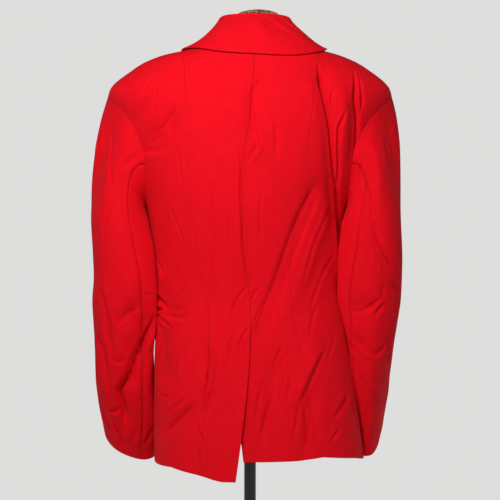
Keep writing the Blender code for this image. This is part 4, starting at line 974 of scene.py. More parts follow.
# %% Left and right front
def front_panels():
    for side, sign, rim in HALVES:
        arm = rim - sign * armhole_angle(FRONT_LEVELS, ARMHOLE_FRONT)
        edge = front_edge_angle(side, FRONT_LEVELS)
        height = plain_body(edge, FRONT_LEVELS, side)[:, 2]
        below = smoothstep((BREAK_Z + 0.003 - height) / 0.006)
        make_panel("cloth_front_" + side, side, arm, edge, FRONT_LEVELS, FRONT_COLUMN_STEP,
                   {"left": SEAM, "right": (0 * below, below), "bottom": FREE},
                   front_lift(side), armhole="left")


front_panels()

# %% [markdown]
# ## Sleeves
# A tailored sleeve has an upper and an under piece. It is set into the armhole with a
# little more cloth than the hole has, so it swells over the shoulder and then hangs as
# a tube. Each sleeve here starts at the armhole's own line, leaves it the way the cloth
# leaves a real seam, and runs into a stack of ovals down to the cuff. With no arm inside,
# both bend forwards from the elbow down; the right one also hangs flat and turned.

# %% Sleeve tables
Section = namedtuple("Section", "z x y half_x half_y rise_x rise_y square twist wrap")
SLEEVES = {
    "left": (
        Section(0.640, 0.2060, 0.010, 0.0470, 0.060, 0.00, 0.00, 2.0, 0.00, 0.000),
        Section(0.600, 0.2030, 0.012, 0.0480, 0.059, 0.00, -0.02, 2.0, 0.00, 0.006),
        Section(0.560, 0.2015, 0.012, 0.0485, 0.057, 0.00, -0.05, 2.0, -0.04, 0.012),
        Section(0.525, 0.2040, 0.009, 0.0495, 0.055, 0.00, -0.08, 2.0, -0.06, 0.017),
        Section(0.490, 0.2045, 0.004, 0.0480, 0.053, 0.02, -0.12, 2.0, -0.06, 0.020),
        Section(0.455, 0.2050, -0.004, 0.0460, 0.051, 0.04, -0.16, 2.0, -0.04, 0.022),
        Section(0.420, 0.2045, -0.012, 0.0460, 0.048, 0.07, -0.24, 2.0, 0.00, 0.022),
        Section(0.385, 0.2040, -0.022, 0.0465, 0.046, 0.12, -0.34, 2.0, 0.00, 0.020),
        Section(0.350, 0.2020, -0.037, 0.0465, 0.043, 0.20, -0.46, 2.0, 0.00, 0.016),
        Section(0.318, 0.2000, -0.056, 0.0455, 0.041, 0.30, -0.58, 2.1, 0.00, 0.006),
        Section(0.286, 0.1985, -0.076, 0.0445, 0.039, 0.38, -0.66, 2.2, 0.00, 0.000),
    ),
    "right": (
        Section(0.640, -0.1920, 0.012, 0.0490, 0.060, 0.00, 0.00, 2.0, 0.00, 0.000),
        Section(0.600, -0.1925, 0.014, 0.0500, 0.058, 0.00, -0.02, 2.0, 0.00, 0.006),
        Section(0.560, -0.1925, 0.014, 0.0505, 0.056, 0.00, -0.05, 2.0, 0.04, 0.012),
        Section(0.525, -0.1935, 0.010, 0.0490, 0.056, 0.00, -0.08, 2.0, 0.10, 0.014),
        Section(0.490, -0.1965, 0.004, 0.0420, 0.057, 0.00, -0.10, 2.1, 0.16, 0.014),
        Section(0.455, -0.1990, -0.003, 0.0350, 0.059, 0.00, -0.13, 2.2, 0.24, 0.014),
        Section(0.420, -0.2020, -0.011, 0.0255, 0.061, 0.00, -0.17, 2.4, 0.29, 0.014),
        Section(0.385, -0.2035, -0.020, 0.0190, 0.062, 0.00, -0.22, 2.6, 0.31, 0.013),
        Section(0.350, -0.2035, -0.032, 0.0168, 0.062, 0.00, -0.28, 2.8, 0.30, 0.012),
        Section(0.323, -0.2020, -0.044, 0.0158, 0.062, 0.00, -0.34, 3.0, 0.27, 0.006),
        Section(0.292, -0.2010, -0.060, 0.0152, 0.062, 0.00, -0.40, 3.2, 0.24, 0.000),
    ),
}
SLEEVE_FOLDS = {
    "left": fold_table(
        ("back", 130, -90, 156, 503, 166, 470, 176, 436, 190, 395, 204, 376, 203, 350, 195, 310),
        ("back", 120, -50, 174, 512, 186, 504, 202, 486, 212, 474),
        ("back", 120, -35, 216, 790, 218, 740, 216, 690),
        ("back", 120, 35, 180, 575, 186, 530, 178, 500),
        ("front", 130, -55, 178, 540, 205, 520, 232, 500),
        ("left", 140, -45, 10, 560, -10, 470, -30, 380),
    ),
    "right": fold_table(
        ("back", 120, -55, -166, 735, -178, 695, -190, 645, -204, 600, -224, 560),
        ("back", 130, -70, -158, 500, -176, 508, -190, 512, -206, 524),
        ("back", 120, -60, -166, 466, -182, 448, -192, 444),
        ("back", 120, -40, -216, 545, -230, 535),
        ("front", 130, -50, -170, 540, -196, 520, -220, 500),
        ("right", 140, -45, 6, 560, -12, 470, -32, 380),
    ),
}
SLEEVE_CREASES = {
    "left": crease_table(
        (18, -36, 12, 0, 218, 807, 219, 775, 219, 742, 218, 710, 215, 688),
        (18, -24, 9, 0, 241, 802, 243, 764, 235, 744),
        (40, -33, 9, 0, 171, 754, 185, 743, 202, 729, 210, 716),
        (20, -24, 8, 0, 210, 846, 195, 822, 187, 805),
        (20, -21, 8, 0, 215, 685, 221, 659, 227, 634, 224, 600),
        (24, -18, 8, 0, 202, 627, 198, 592, 191, 566),
        (24, -18, 8, 0, 178, 581, 175, 561, 179, 537),
        (34, -48, 18, 1, 239, 549, 233, 529, 227, 502, 221, 477, 215, 450),
        (24, -42, 18, 1, 172, 536, 177, 522, 179, 507, 190, 503, 201, 490, 213, 476),
        (22, -27, 12, 0, 153, 529, 163, 529, 172, 534),
        (26, -30, 12, 0, 179, 507, 186, 487, 195, 468),
        (38, -111, 33, 0, 152, 499, 157, 483, 164, 467, 172, 451, 181, 432, 189, 409, 199, 390,
         208, 376, 208, 363, 204, 348, 202, 329, 203, 308),
        (30, -51, 18, 0, 244, 472, 237, 449, 231, 425, 227, 399, 223, 373, 224, 345),
        (24, -42, 15, 0, 232, 493, 224, 466, 217, 442, 213, 422),
        (24, -33, 12, 0, 216, 432, 208, 422, 195, 432),
        (30, -45, 18, 0, 230, 338, 219, 341, 207, 348),
        (26, -39, 15, 0, 224, 328, 216, 307, 208, 288, 200, 272),
        (26, -36, 15, 0, 184, 319, 189, 297, 195, 278),
        (26, -33, 14, 0, 158, 317, 167, 295, 177, 277),
        (24, -27, 12, 0, 246, 356, 238, 327, 227, 304),
        (24, -24, 9, 0, 174, 406, 171, 376, 167, 346),
        (24, -27, 9, 0, 246, 436, 243, 407, 247, 373),
        (24, -24, 9, 0, 186, 461, 196, 443, 205, 422),
    ),
    "right": crease_table(
        (18, -45, 15, 0, -170, 748, -176, 723, -183, 700, -189, 672, -194, 645, -199, 620,
         -209, 598, -221, 576, -234, 557),
        (18, -36, 12, 0, -165, 698, -159, 675, -152, 651, -149, 622),
        (22, -24, 9, 0, -173, 705, -158, 704, -148, 692),
        (15, -18, 6, 0, -211, 832, -199, 818, -189, 803),
        (16, -18, 8, 0, -192, 805, -199, 799, -206, 795),
        (20, -18, 8, 0, -209, 774, -217, 755, -220, 734),
        (26, -36, 18, 0, -160, 503, -173, 503, -185, 508, -197, 519, -210, 528),
        (24, -36, 21, 0, -191, 487, -199, 503, -207, 514, -219, 515),
        (24, -27, 12, 0, -200, 586, -195, 572, -191, 559),
        (26, -33, 12, 0, -208, 548, -207, 534, -212, 522),
        (24, -36, 12, 0, -222, 548, -229, 540, -235, 532),
        (28, -48, 21, -1, -155, 479, -165, 463, -178, 449, -189, 438, -199, 436, -209, 445,
         -215, 462),
        (24, -30, 14, 0, -161, 452, -170, 436, -183, 425),
        (24, -36, 15, 1, -166, 421, -174, 402, -185, 383, -197, 366, -211, 351),
        (22, -30, 12, 0, -172, 398, -178, 377, -186, 354, -191, 332),
        (30, -39, 15, -1, -236, 458, -237, 426, -233, 393, -229, 360, -222, 327),
        (24, -24, 9, 0, -215, 464, -220, 441, -218, 414),
        (22, -24, 9, 0, -193, 398, -203, 395, -217, 395),
        (22, -18, 8, 0, -184, 322, -194, 312, -212, 307),
        (24, -21, 9, 0, -174, 644, -170, 616, -166, 581, -160, 547),
        (20, -18, 6, 0, -184, 616, -187, 581, -181, 547),
    ),
}
BACK_SEAM_LEVEL, FRONT_SEAM_LEVEL = 6.0, 5.55
print("creases of the sleeves:", {side: len(rows) for side, rows in SLEEVE_CREASES.items()})

# %% Where a sleeve runs
ROUGH_LEVELS = (5.0, 5.06, 5.22, 5.55, 6.0, 6.5, 7.0, 7.5, 7.85, 8.0)
ROUGH_CAP = (0.18, 0.38, 0.62, 0.82)


def armhole_loop(levels, rim, sign):
    """The armhole seam, from the shoulder point down the back and up the front."""
    levels = np.asarray(levels, float)
    down = rim + sign * armhole_angle(levels[::-1], ARMHOLE_BACK)
    up = rim - sign * armhole_angle(levels[1:-1], ARMHOLE_FRONT)
    return np.concatenate([down, up]), np.concatenate([levels[::-1], levels[1:-1]])


def sleeve_tube(side, sign, rim, levels, cap, sections):
    """Rows of points from the armhole to the cuff, before anything holds them apart."""
    angles, heights = armhole_loop(levels, rim, sign)
    loop, mitre, leaving = seam_frames(angles, heights, side)
    length = np.linalg.norm(np.roll(loop, -1, axis=0) - loop, axis=1)
    share = np.concatenate([[0], np.cumsum(length)[:-1]]) / length.sum()
    table = rows_at(SLEEVES[side], sections)
    z, x, y, half_x, half_y, rise_x, rise_y, square, twist, wrap = table.T[..., None]
    c, s = np.cos(2 * np.pi * share)[None], np.sin(2 * np.pi * share)[None]
    dx = sign * half_x * np.sign(c) * np.abs(c) ** (2 / square)
    dy = half_y * np.sign(s) * np.abs(s) ** (2 / square)
    corner = smoothstep(-c / 0.6) * smoothstep(s / 0.5)
    tube = np.stack([x + dx + twist * dy - sign * wrap * corner, y + dy,
                     z + sign * rise_x * dx + rise_y * dy], -1)
    down = unit(tube[1] - tube[0])
    reach = np.linalg.norm(tube[0] - loop, axis=1)[:, None]
    t = np.asarray(cap)[:, None, None]
    arch = ((2 * t**3 - 3 * t**2 + 1) * loop + (t**3 - 2 * t**2 + t) * leaving * reach
            + (3 * t**2 - 2 * t**3) * tube[0] + (t**3 - t**2) * down * reach * 0.9)
    return np.concatenate([loop[None], arch, tube]), share, mitre, heights


def held_apart(points, side, rim):
    """How a rough sleeve has to move so that it stays clear of the body."""
    angles, levels = np.meshgrid(rim + np.linspace(-75, 75, 76),
                                 np.linspace(HEM_LEVEL, POINT_LEVEL, 110))
    skin, out = (grid.reshape(-1, 3) for grid in body_and_normal(angles, levels, side))
    clear = np.full(points.shape[:2], 2 * CLOTH + 0.0012)
    clear[0], clear[1], clear[2] = -1, 0.0025, 0.0042
    moved = points.copy()
    for _ in range(3):
        flat = moved.reshape(-1, 3)
        nearest = np.argmin(((flat[:, None] - skin[None]) ** 2).sum(-1), axis=1)
        gap = ((flat - skin[nearest]) * out[nearest]).sum(-1).reshape(clear.shape)
        moved += out[nearest].reshape(moved.shape) * np.maximum(clear - gap, 0)[..., None]
    return moved - points


def spread_over(rough, rough_rows, rough_share, rows, share):
    """A rough grid of moves, read smoothly at finer rows and places round the sleeve."""
    round_share = np.concatenate([rough_share, [1.0]])
    place = np.interp(share, round_share, np.arange(len(round_share)))
    ring = np.concatenate([rough[:, -1:], rough, rough[:, :2]], axis=1).transpose(1, 0, 2)
    fine = rows_at(ring, place + 1).transpose(1, 0, 2)
    return rows_at(fine, np.interp(rows, rough_rows, np.arange(len(rough_rows))))


def tube_normals(points, sign):
    around = np.roll(points, -1, axis=1) - np.roll(points, 1, axis=1)
    return unit(np.cross(np.gradient(points, axis=0), around)) * sign


def smooth_round(grid, times):
    """Evens out normals over neighbouring rows and columns of a closed sleeve."""
    for _ in range(times):
        grid = (np.roll(grid, 1, axis=1) + 2 * grid + np.roll(grid, -1, axis=1)) / 4
        ends = np.concatenate([grid[:1], grid, grid[-1:]])
        grid = (ends[:-2] + 2 * grid + ends[2:]) / 4
    return unit(grid)


print("rough sleeve grid:", len(ROUGH_CAP) + 12, "rows x", 2 * len(ROUGH_LEVELS) - 2,
      "columns")

# %% Upper and under sleeves
def seam_index(levels, wanted, last=False):
    hits = np.nonzero(np.isclose(levels, wanted))[0]
    return int(hits[-1] if last else hits[0])


def sleeves():
    levels = armhole_levels(64)
    for wanted in (BACK_SEAM_LEVEL, FRONT_SEAM_LEVEL):
        levels[np.argmin(np.abs(levels - wanted))] = wanted
    cap = np.concatenate([[0.004, 0.010, 0.019], np.linspace(0.033, 0.985, 58)])
    sections = np.concatenate([np.linspace(0, 9.93, 118), [9.96, 9.984, 10.0]])
    for side, sign, rim in HALVES:
        rough, rough_share, _, _ = sleeve_tube(side, sign, rim, ROUGH_LEVELS, ROUGH_CAP,
                                               np.arange(11.0))
        moves = held_apart(rough, side, rim)
        points, share, mitre, heights = sleeve_tube(side, sign, rim, levels, cap, sections)
        rough_rows = np.concatenate([[0], ROUGH_CAP, 1 + np.arange(11.0)])
        rows = np.concatenate([[0], cap, 1 + sections])
        away = spread_over(moves, rough_rows, rough_share, rows, share)
        points = points + away * smoothstep(rows / 0.03)[:, None, None]
        normal = smooth_round(tube_normals(points, sign), 3)
        height = fold_depth(points, normal, SLEEVE_FOLDS[side])
        seen = points + normal * height[..., None]
        height = height + crease_depth(seen, normal, SLEEVE_CREASES[side])
        height = height + ripple(points, SLEEVE_RIPPLE)
        height = height * smoothstep(rows / 0.09)[:, None]
        back = seam_index(heights, BACK_SEAM_LEVEL)
        front = seam_index(heights, FRONT_SEAM_LEVEL, last=True)
        around = len(share)
        for piece, columns in (("upper", [i % around for i in range(front, back + around + 1)]),
                               ("under", list(range(back, front + 1)))):
            make_cloth("cloth_sleeve_%s_%s" % (side, piece), points[::-1, columns],
                       normal[::-1, columns], height[::-1, columns],
                       {"left": SEAM, "right": SEAM, "bottom": FREE, "top": (0.6, 0)},
                       ("top", mitre[columns], np.ones(len(columns), bool)), SHUT_GAP)


sleeves()

# %% [markdown]
# ## Lapels
# The lapel is not laid on the front: it is the front's own facing, turned back along the
# roll line. A double-breasted jacket has peak lapels, whose points rise past the collar.
# Each lapel starts in the fold, stands up, rolls over and lies down on the front, with
# a soft swell in the middle, because a pressed lapel never lies quite flat.

# %% Leaves of double cloth
PEAK = {"left": (0.150, 0.842), "right": (-0.163, 0.842)}
BELLY = {"left": (0.088, 0.742), "right": (-0.094, 0.742)}
LAPEL_LOW = {"left": 4.667, "right": 4.0}      # the left one starts under the right front
LEAF_FREE, LEAF_ROUND_EDGE = ("right", "bottom", "top"), 0.0016


def panel_edge(side, level):
    """A front's free edge: point, normal, and the way off the cloth."""
    def surface(angle, at):
        return inside_of(angle, at, side, front_lift(side), fine=False)

    angle = front_edge_angle(side, level)
    point, normal = surface(angle, level), normals_of(surface, angle, level)
    ahead = surface(front_edge_angle(side, level + 0.05), level + 0.05)
    behind = surface(front_edge_angle(side, level - 0.05), level - 0.05)
    off = unit(np.cross(unit(ahead - behind), normal))
    inward = surface(angle + (2 if side == "left" else -2), level) - point
    return point, normal, off * -np.sign(np.sum(off * inward, axis=-1, keepdims=True))


def leaf(name, middle, normal):
    """A leaf of double cloth on both sides of its middle surface."""
    far = edge_distances(middle)
    fat = np.ones(middle.shape[:2])
    for side in LEAF_FREE:
        fat *= 1 - 0.70 * drawn_in(far[side], LEAF_ROUND_EDGE)
    # rim marks the free edges: the cloth is smoother there, and its colour gets painted shade.
    rim = np.max([np.exp(-far[side] / EDGE_SHADE_AND_PRESS_WIDTH) for side in LEAF_FREE], axis=0)
    through = normal * (DOUBLE_CLOTH / 2 * fat)[..., None]
    finish_sheet(name, middle, far, middle + through, middle - through, (jacket_cloth,), rim)


def finer(grid, columns):
    """A grid of points read smoothly at more columns."""
    return rows_at(grid.transpose(1, 0, 2), columns).transpose(1, 0, 2)


def grid_normals(points):
    return unit(np.cross(np.gradient(points, axis=1), np.gradient(points, axis=0)))


print("peaks at", PEAK)

# %% [markdown]
# ## Collar
# The collar stands up behind the neck, turns over, and falls to cover the neck seam. Its
# table gives, round the neckline, how high the fold line is, how far it leans in, and
# where the outer edge comes to lie on the shoulders. On this jacket the right part of
# the fall is crumpled, where it was lifted and let go.

# %% Collar table
CollarPlace = namedtuple("CollarPlace", "turn height lean angle level")
COLLAR = (
    CollarPlace(-52, 0.0048, 0.0005, -58, 9.05), CollarPlace(-42, 0.0085, 0.0030, -46, 9.55),
    CollarPlace(-28, 0.0180, 0.0080, -29, 10.15), CollarPlace(-12, 0.0300, 0.0150, -11, 10.72),
    CollarPlace(0, 0.0370, 0.0200, 0, 10.95), CollarPlace(22, 0.0410, 0.0170, 22, 10.92),
    CollarPlace(45, 0.0430, 0.0125, 45, 10.78), CollarPlace(70, 0.0440, 0.0115, 70, 10.35),
    CollarPlace(90, 0.0445, 0.0110, 90, 10.15), CollarPlace(112, 0.0440, 0.0110, 113, 9.95),
    CollarPlace(138, 0.0420, 0.0110, 140, 10.30), CollarPlace(160, 0.0400, 0.0150, 161, 10.75),
    CollarPlace(180, 0.0370, 0.0180, 180, 10.98), CollarPlace(192, 0.0300, 0.0150, 191, 10.72),
    CollarPlace(208, 0.0180, 0.0075, 209, 10.15), CollarPlace(222, 0.0085, 0.0030, 226, 9.55),
    CollarPlace(232, 0.0048, 0.0005, 238, 9.05),
)
# Where the neck edge is the body's own; past it, it runs down the fronts' roll lines.
NECK_FROM, NECK_TO, DEGREES_TO_LEVEL = -14, 194, 19
# Wrinkles of the fall: turn and share of the way down, slant, width in degrees, depth.
Wrinkle = namedtuple("Wrinkle", "turn share slant width depth")
WRINKLES = (
    Wrinkle(112, 0.45, 26, 7.0, -0.0030), Wrinkle(132, 0.50, 26, 6.0, -0.0028),
    Wrinkle(150, 0.55, 26, 6.0, 0.0020), Wrinkle(60, 0.50, 20, 9.0, 0.0010),
    Wrinkle(118, 0.30, 34, 2.4, -0.0014), Wrinkle(126, 0.42, 30, 2.2, -0.0016),
    Wrinkle(137, 0.40, 34, 2.4, -0.0022), Wrinkle(143, 0.62, 24, 2.2, -0.0016),
    Wrinkle(152, 0.55, 30, 2.4, -0.0018), Wrinkle(104, 0.50, 18, 3.0, -0.0008),
    Wrinkle(52, 0.40, -16, 4.0, -0.0010), Wrinkle(38, 0.60, -14, 3.6, -0.0008),
)


def neckline(turns):
    """The neck edge of the body: up the left front, round the neck, down the right."""
    points, normals, offs = (np.zeros((len(turns), 3)) for _ in range(3))
    for side, past in (("left", NECK_FROM - turns), ("right", turns - NECK_TO)):
        here = past > 0
        points[here], normals[here], offs[here] = panel_edge(
            side, NECK_LEVEL - past[here] / DEGREES_TO_LEVEL)
    here = (turns >= NECK_FROM) & (turns <= NECK_TO)
    angle, level = turns[here], np.full(here.sum(), NECK_LEVEL)

    def surface(a, l):
        return inside_of(a, l, "left", fine=False)

    points[here], normals[here] = surface(angle, level), normals_of(surface, angle, level)
    along = unit(surface(angle + 1, level) - surface(angle - 1, level))
    off = unit(np.cross(normals[here], along))
    offs[here] = off * np.sign(off[:, 2:])
    return points, normals, offs


def collar_grid(turns):
    """Points of the collar's middle surface, from the neck seam over the fold to its edge."""
    table = np.array(COLLAR)
    place = np.interp(turns, table[:, 0], np.arange(len(table)))
    height, lean, angle, level = rows_at(table[:, 1:], place).T
    edge, normal, off = neckline(turns)
    low, low_normal = inside_of(angle, level, "left", fine=False), body_and_normal(angle, level)[1]
    low = low + low_normal * (CLOTH + SEAM_GAP + DOUBLE_CLOTH / 2 + 0.0017)
    outward = np.zeros_like(edge)
    outward[:, :2] = unit(edge[:, :2] - np.array([-0.009, 0.0]))
    share = smoothstep(np.minimum(turns + 46, 226 - turns) / 30)[:, None]
    outward = unit(outward * share - off * (1 - share))
    upward = unit(np.array([0, 0, 1.0]) * share + normal * (1 - share))
    radius = DOUBLE_CLOTH / 2 + 0.0009
    centre = edge + upward * height[:, None] - outward * lean[:, None]
    start = edge + off * (0.0008 + DOUBLE_CLOTH / 2) + normal * 0.0002
    inner, outer = centre - outward * radius, centre + outward * radius
    turned = [centre + (upward * math.sin(a) - outward * math.cos(a)) * radius
              for a in (math.pi / 4, math.pi / 2, 3 * math.pi / 4)]
    rows = [start, start + (inner - start) * 0.5, inner, *turned, outer]
    for way in np.linspace(0.05, 1.0, 20):
        swell = 0.004 - 0.011 * np.abs(np.cos(np.radians(turns)))[:, None] ** 3
        bulge = (outward + upward) * swell * math.sin(math.pi * way) * share
        wrinkle = sum(w.depth * np.exp(-((turns - w.turn - w.slant * (way - 0.5)) / w.width) ** 2
                                       - ((way - w.share) / 0.42) ** 2) for w in WRINKLES)
        rows.append(outer + (low - outer) * way + bulge + outward * wrinkle[:, None])
    middle = np.stack(rows, axis=1)
    middle[0] += unit(middle[1] - middle[0]) * 0.0006
    middle[-1] += unit(middle[-2] - middle[-1]) * 0.0006
    return middle, off, outward


def collar():
    turns = np.concatenate([[-52, -51.7, -51.2], np.linspace(-50.5, 230.5, 226),
                            [231.2, 231.7, 232]])
    rough, off, outward = collar_grid(turns)
    columns = np.concatenate([np.linspace(0, 2, 17)[:-1], np.linspace(2, 6, 13)[:-1],
                              np.linspace(6, 25.6, 26), [25.85, 26.0]])
    middle = finer(rough, columns)
    facing = grid_normals(middle)
    facing *= np.sign(np.sum(facing[120, -6] * outward[120]))
    blend = smoothstep(columns / 0.6)[None, :, None]
    facing = unit(facing * blend + off[:, None] * (1 - blend))
    leaf("cloth_collar", middle, facing)


collar()

# %% Peak lapels
def lapel_outline(side, share):
    """Outer edge of the lapel, as (across, height), from the break to the peak."""
    start = np.array([OVERLAP * (-1 if side == "left" else 1), BREAK_Z])
    belly, peak = np.array(BELLY[side]), np.array(PEAK[side])
    share = share[:, None]
    pull = 2 * belly - (start + peak) / 2
    return (1 - share) ** 2 * start + 2 * share * (1 - share) * pull + share**2 * peak


def lapels():
    for side in ("left", "right"):
        low = LAPEL_LOW[side]
        levels = np.concatenate([[low, low + 0.008, low + 0.02], np.linspace(low + 0.04, 9.96, 118),
                                 [9.98, 9.992, 10.0]])
        edge, normal, off = panel_edge(side, levels)
        share = (edge[:, 2] - BREAK_Z) / (edge[-1, 2] - BREAK_Z)
        outer = lapel_outline(side, np.clip(share, 0.035, 1))
        roll = edge[:, [0, 2]]
        across = np.concatenate([np.linspace(0.05, 0.985, 36), [0.993, 1.0]])
        flat = roll[:, None] + (outer - roll)[:, None] * across[None, :, None]
        corner = COLLAR[0] if side == "left" else COLLAR[-1]
        notch = plain_body(corner.angle, np.array(corner.level))[[0, 2]]
        reach = np.linalg.norm(notch - roll[-1])
        reach /= reach + np.linalg.norm(outer[-1] - notch)
        top_row = np.stack([np.interp(across, [0, reach, 1], [roll[-1][i], notch[i], outer[-1][i]])
                            for i in (0, 1)], axis=-1)
        flat += (share[:, None, None] ** 6) * (top_row - flat[-1])[None]
        angles, at = front_place(side, flat[..., 0], flat[..., 1])
        swell = 0.0011 + 0.0028 * np.sin(np.pi * across)
        lift = CLOTH + SEAM_GAP + DOUBLE_CLOTH / 2 + np.broadcast_to(swell, angles.shape)
        if side == "left":       # it lies lower where the right front covers it
            lift = CLOTH + SEAM_GAP + DOUBLE_CLOTH / 2 + 0.0004 + np.outer(
                smoothstep((share - 0.5) / 0.2), 0.0007 + 0.0028 * np.sin(np.pi * across))
        base, out = body_and_normal(angles, at, side)
        if side == "right":
            lift = lift + lift_right_front(angles, at, base)
        leaf_points = base + out * (lift + ripple(base, LAPEL_RIPPLE))[..., None]
        step = SEAM_GAP + DOUBLE_CLOTH / 2
        first = edge + off * step + normal * 0.0003
        second = edge + off * step * 0.8 + normal * (CLOTH + SEAM_GAP + 0.0009)
        middle = np.concatenate([first[:, None], second[:, None], leaf_points], axis=1)
        middle[-1] += unit(middle[-2] - middle[-1]) * 0.0006
        columns = np.concatenate([np.linspace(0, 3, 13)[:-1], np.arange(3.0, middle.shape[1])])
        middle = finer(middle, columns)
        facing = grid_normals(middle)
        facing *= -np.sign(facing[:, -8, 1].sum())
        blend = smoothstep(columns / 0.9)[None, :, None]
        facing = unit(facing * blend + off[:, None] * (1 - blend))
        leaf("cloth_lapel_" + side, middle, facing)


lapels()

# %% [markdown]
# ## Buttons
# Six four-hole buttons in a red a little deeper than the cloth: two columns of three,
# and only the outer column fastens. A button is turned from a flat blank, so it starts
# as a cylinder: the face is inset for the rim and sunk for the dish, and the sharp
# edges are rounded. The four holes are cut, and a crossed thread holds it.

# %% Tools for hard pieces
def picked(thing, test):
    """Selects the faces of a piece in edit mode whose middle passes a test."""
    bpy.ops.mesh.select_mode(type="FACE")
    bpy.ops.mesh.select_all(action="DESELECT")
    mesh = bmesh.from_edit_mesh(thing.data)
    for face in mesh.faces:
        middle = sum((corner.co for corner in face.verts), Vector()) / len(face.verts)
        face.select_set(bool(test(middle)))
    bmesh.update_edit_mesh(thing.data)


def edit(thing):
    bpy.ops.object.select_all(action="DESELECT")
    thing.select_set(True)
    bpy.context.view_layer.objects.active = thing
    bpy.ops.object.mode_set(mode="EDIT")


def applied(thing, kind, **settings):
    modifier = thing.modifiers.new(kind.lower(), kind)
    for setting, value in settings.items():
        setattr(modifier, setting, value)
    bpy.context.view_layer.objects.active = thing
    bpy.ops.object.modifier_apply(modifier=modifier.name)


def bevelled(thing, width, segments, angle):
    applied(thing, "BEVEL", width=width, segments=segments, limit_method="ANGLE",
            angle_limit=math.radians(angle))


def painted(thing, material):
    thing.data.materials.clear()
    thing.data.materials.append(material)


def cylinder(name, radius, low, high, sides=64):
    bpy.ops.object.select_all(action="DESELECT")
    bpy.ops.mesh.primitive_cylinder_add(vertices=sides, radius=radius, depth=high - low,
                                        location=(0, 0, (low + high) / 2))
    made = bpy.context.object
    made.name = made.data.name = name
    bpy.ops.object.transform_apply(location=True, rotation=True, scale=True)
    return made


def smooth(thing, angle=35):
    thing.data.shade_smooth()
    thing.data.set_sharp_from_angle(angle=math.radians(angle))


print("tools ready")

# %% Button finishes
THREAD_PLY = 0.00045


def button_finish():
    bench = Bench("button_swirl", Coat_Weight=0.25, Coat_Roughness=0.22, Specular_IOR_Level=0.5)
    place = bench.place()
    swirl = bench.noise(bench.stretched(place, (1.0, 1.0, 2.2)), 190.0, 5.0, 0.6)
    wear = bench.noise(place, 1900.0, 2.0)
    colour = bench.blend((swirl * 1.6 - 0.3).clamp(),
                         (0.200, 0.0035, 0.0060), (0.430, 0.0110, 0.0150))
    return bench.use(colour, 0.26 + wear * 0.14, wear + swirl * 0.6, depth=0.00005, strength=0.3)


def thread_finish():
    bench = Bench("thread_red", Specular_IOR_Level=0.3)
    place = bench.place()
    x, z = bench.parts(place, (0, 2))
    twist = ((x + z) * (TURN / THREAD_PLY)).wave()
    fuzz = bench.noise(place, 2600.0, 3.0)
    colour = bench.blend((fuzz + twist * 0.2).clamp(), (0.330, 0.003, 0.006), (0.700, 0.010, 0.017))
    return bench.use(colour, 0.58 + fuzz * 0.2, twist + fuzz, depth=0.00012, strength=0.7)


button_swirl, thread_red = button_finish(), thread_finish()
print("button finishes:", button_swirl.name, thread_red.name)

# %% One button
BUTTON_RADIUS, BUTTON_HEIGHT, BUTTON_COLUMN = 0.0115, 0.0042, 0.048
BUTTON_ROWS_Z = (0.566, 0.470, 0.374)
HOLE_AT, HOLE_RADIUS, THREAD_RADIUS = 0.0019, 0.0010, 0.00042


def thread_over(name, points):
    """A short thread on a curve through the points, made into a mesh."""
    bpy.ops.object.select_all(action="DESELECT")
    bpy.ops.curve.primitive_nurbs_path_add(location=(0, 0, 0))
    made = bpy.context.object
    made.name = name
    for point, place in zip(made.data.splines[0].points, points):
        point.co = (*place, 1)
    made.data.bevel_depth, made.data.bevel_resolution, made.data.resolution_u = THREAD_RADIUS, 3, 6
    bpy.ops.object.convert(target="MESH")
    return bpy.context.object


def button_blank():
    button = cylinder("button", BUTTON_RADIUS, 0, BUTTON_HEIGHT)
    edit(button)
    picked(button, lambda m: m.z > BUTTON_HEIGHT - 1e-5 and m.length < BUTTON_HEIGHT + 1e-4)
    bpy.ops.mesh.inset(thickness=0.0026)
    bpy.ops.mesh.inset(thickness=0.0013)
    bpy.ops.transform.translate(value=(0, 0, -0.0012))
    bpy.ops.mesh.inset(thickness=0.0040)
    bpy.ops.transform.translate(value=(0, 0, -0.0002))
    bpy.ops.object.mode_set(mode="OBJECT")
    bevelled(button, 0.0006, 4, 25)
    for x in (-HOLE_AT, HOLE_AT):
        for y in (-HOLE_AT, HOLE_AT):
            drill = cylinder("drill", HOLE_RADIUS, -0.002, 0.006, 24)
            drill.data.transform(Matrix.Translation((x, y, 0)))
            applied(button, "BOOLEAN", operation="DIFFERENCE", object=drill, solver="EXACT")
            bpy.data.objects.remove(drill)
    smooth(button, 30)
    painted(button, button_swirl)
    dish, threads = BUTTON_HEIGHT - 0.0014, []
    for way in (1, -1):
        for beside in (-0.0004, 0.0004):
            ends = [Vector((k * HOLE_AT + beside * way, k * way * HOLE_AT - beside, 0))
                    for k in (-1, 1)]
            top = [ends[0].lerp(ends[1], t) + Vector((0, 0, dish + up)) for t, up in (
                (0.06, 0.0002), (0.5, 0.0009 + 0.0004 * (way > 0)), (0.94, 0.0002))]
            low = Vector((0, 0, 0.0006))
            threads.append(thread_over("strand", [ends[0] + low, *top, ends[1] + low]))
    bpy.ops.object.select_all(action="DESELECT")
    for thread in threads:
        painted(thread, thread_red)
        thread.data.shade_smooth()
        thread.select_set(True)
    button.select_set(True)
    bpy.context.view_layer.objects.active = button
    bpy.ops.object.join()
    return button


def finished_surface(side, x, height):
    """The outside of a front at a sideways place and a height, with its normal."""
    angle, level = front_place(side, x, height)
    point, normal, rise = stand_off(angle, level, side, front_lift(side))
    return point + normal * (rise + CLOTH)[..., None], normal


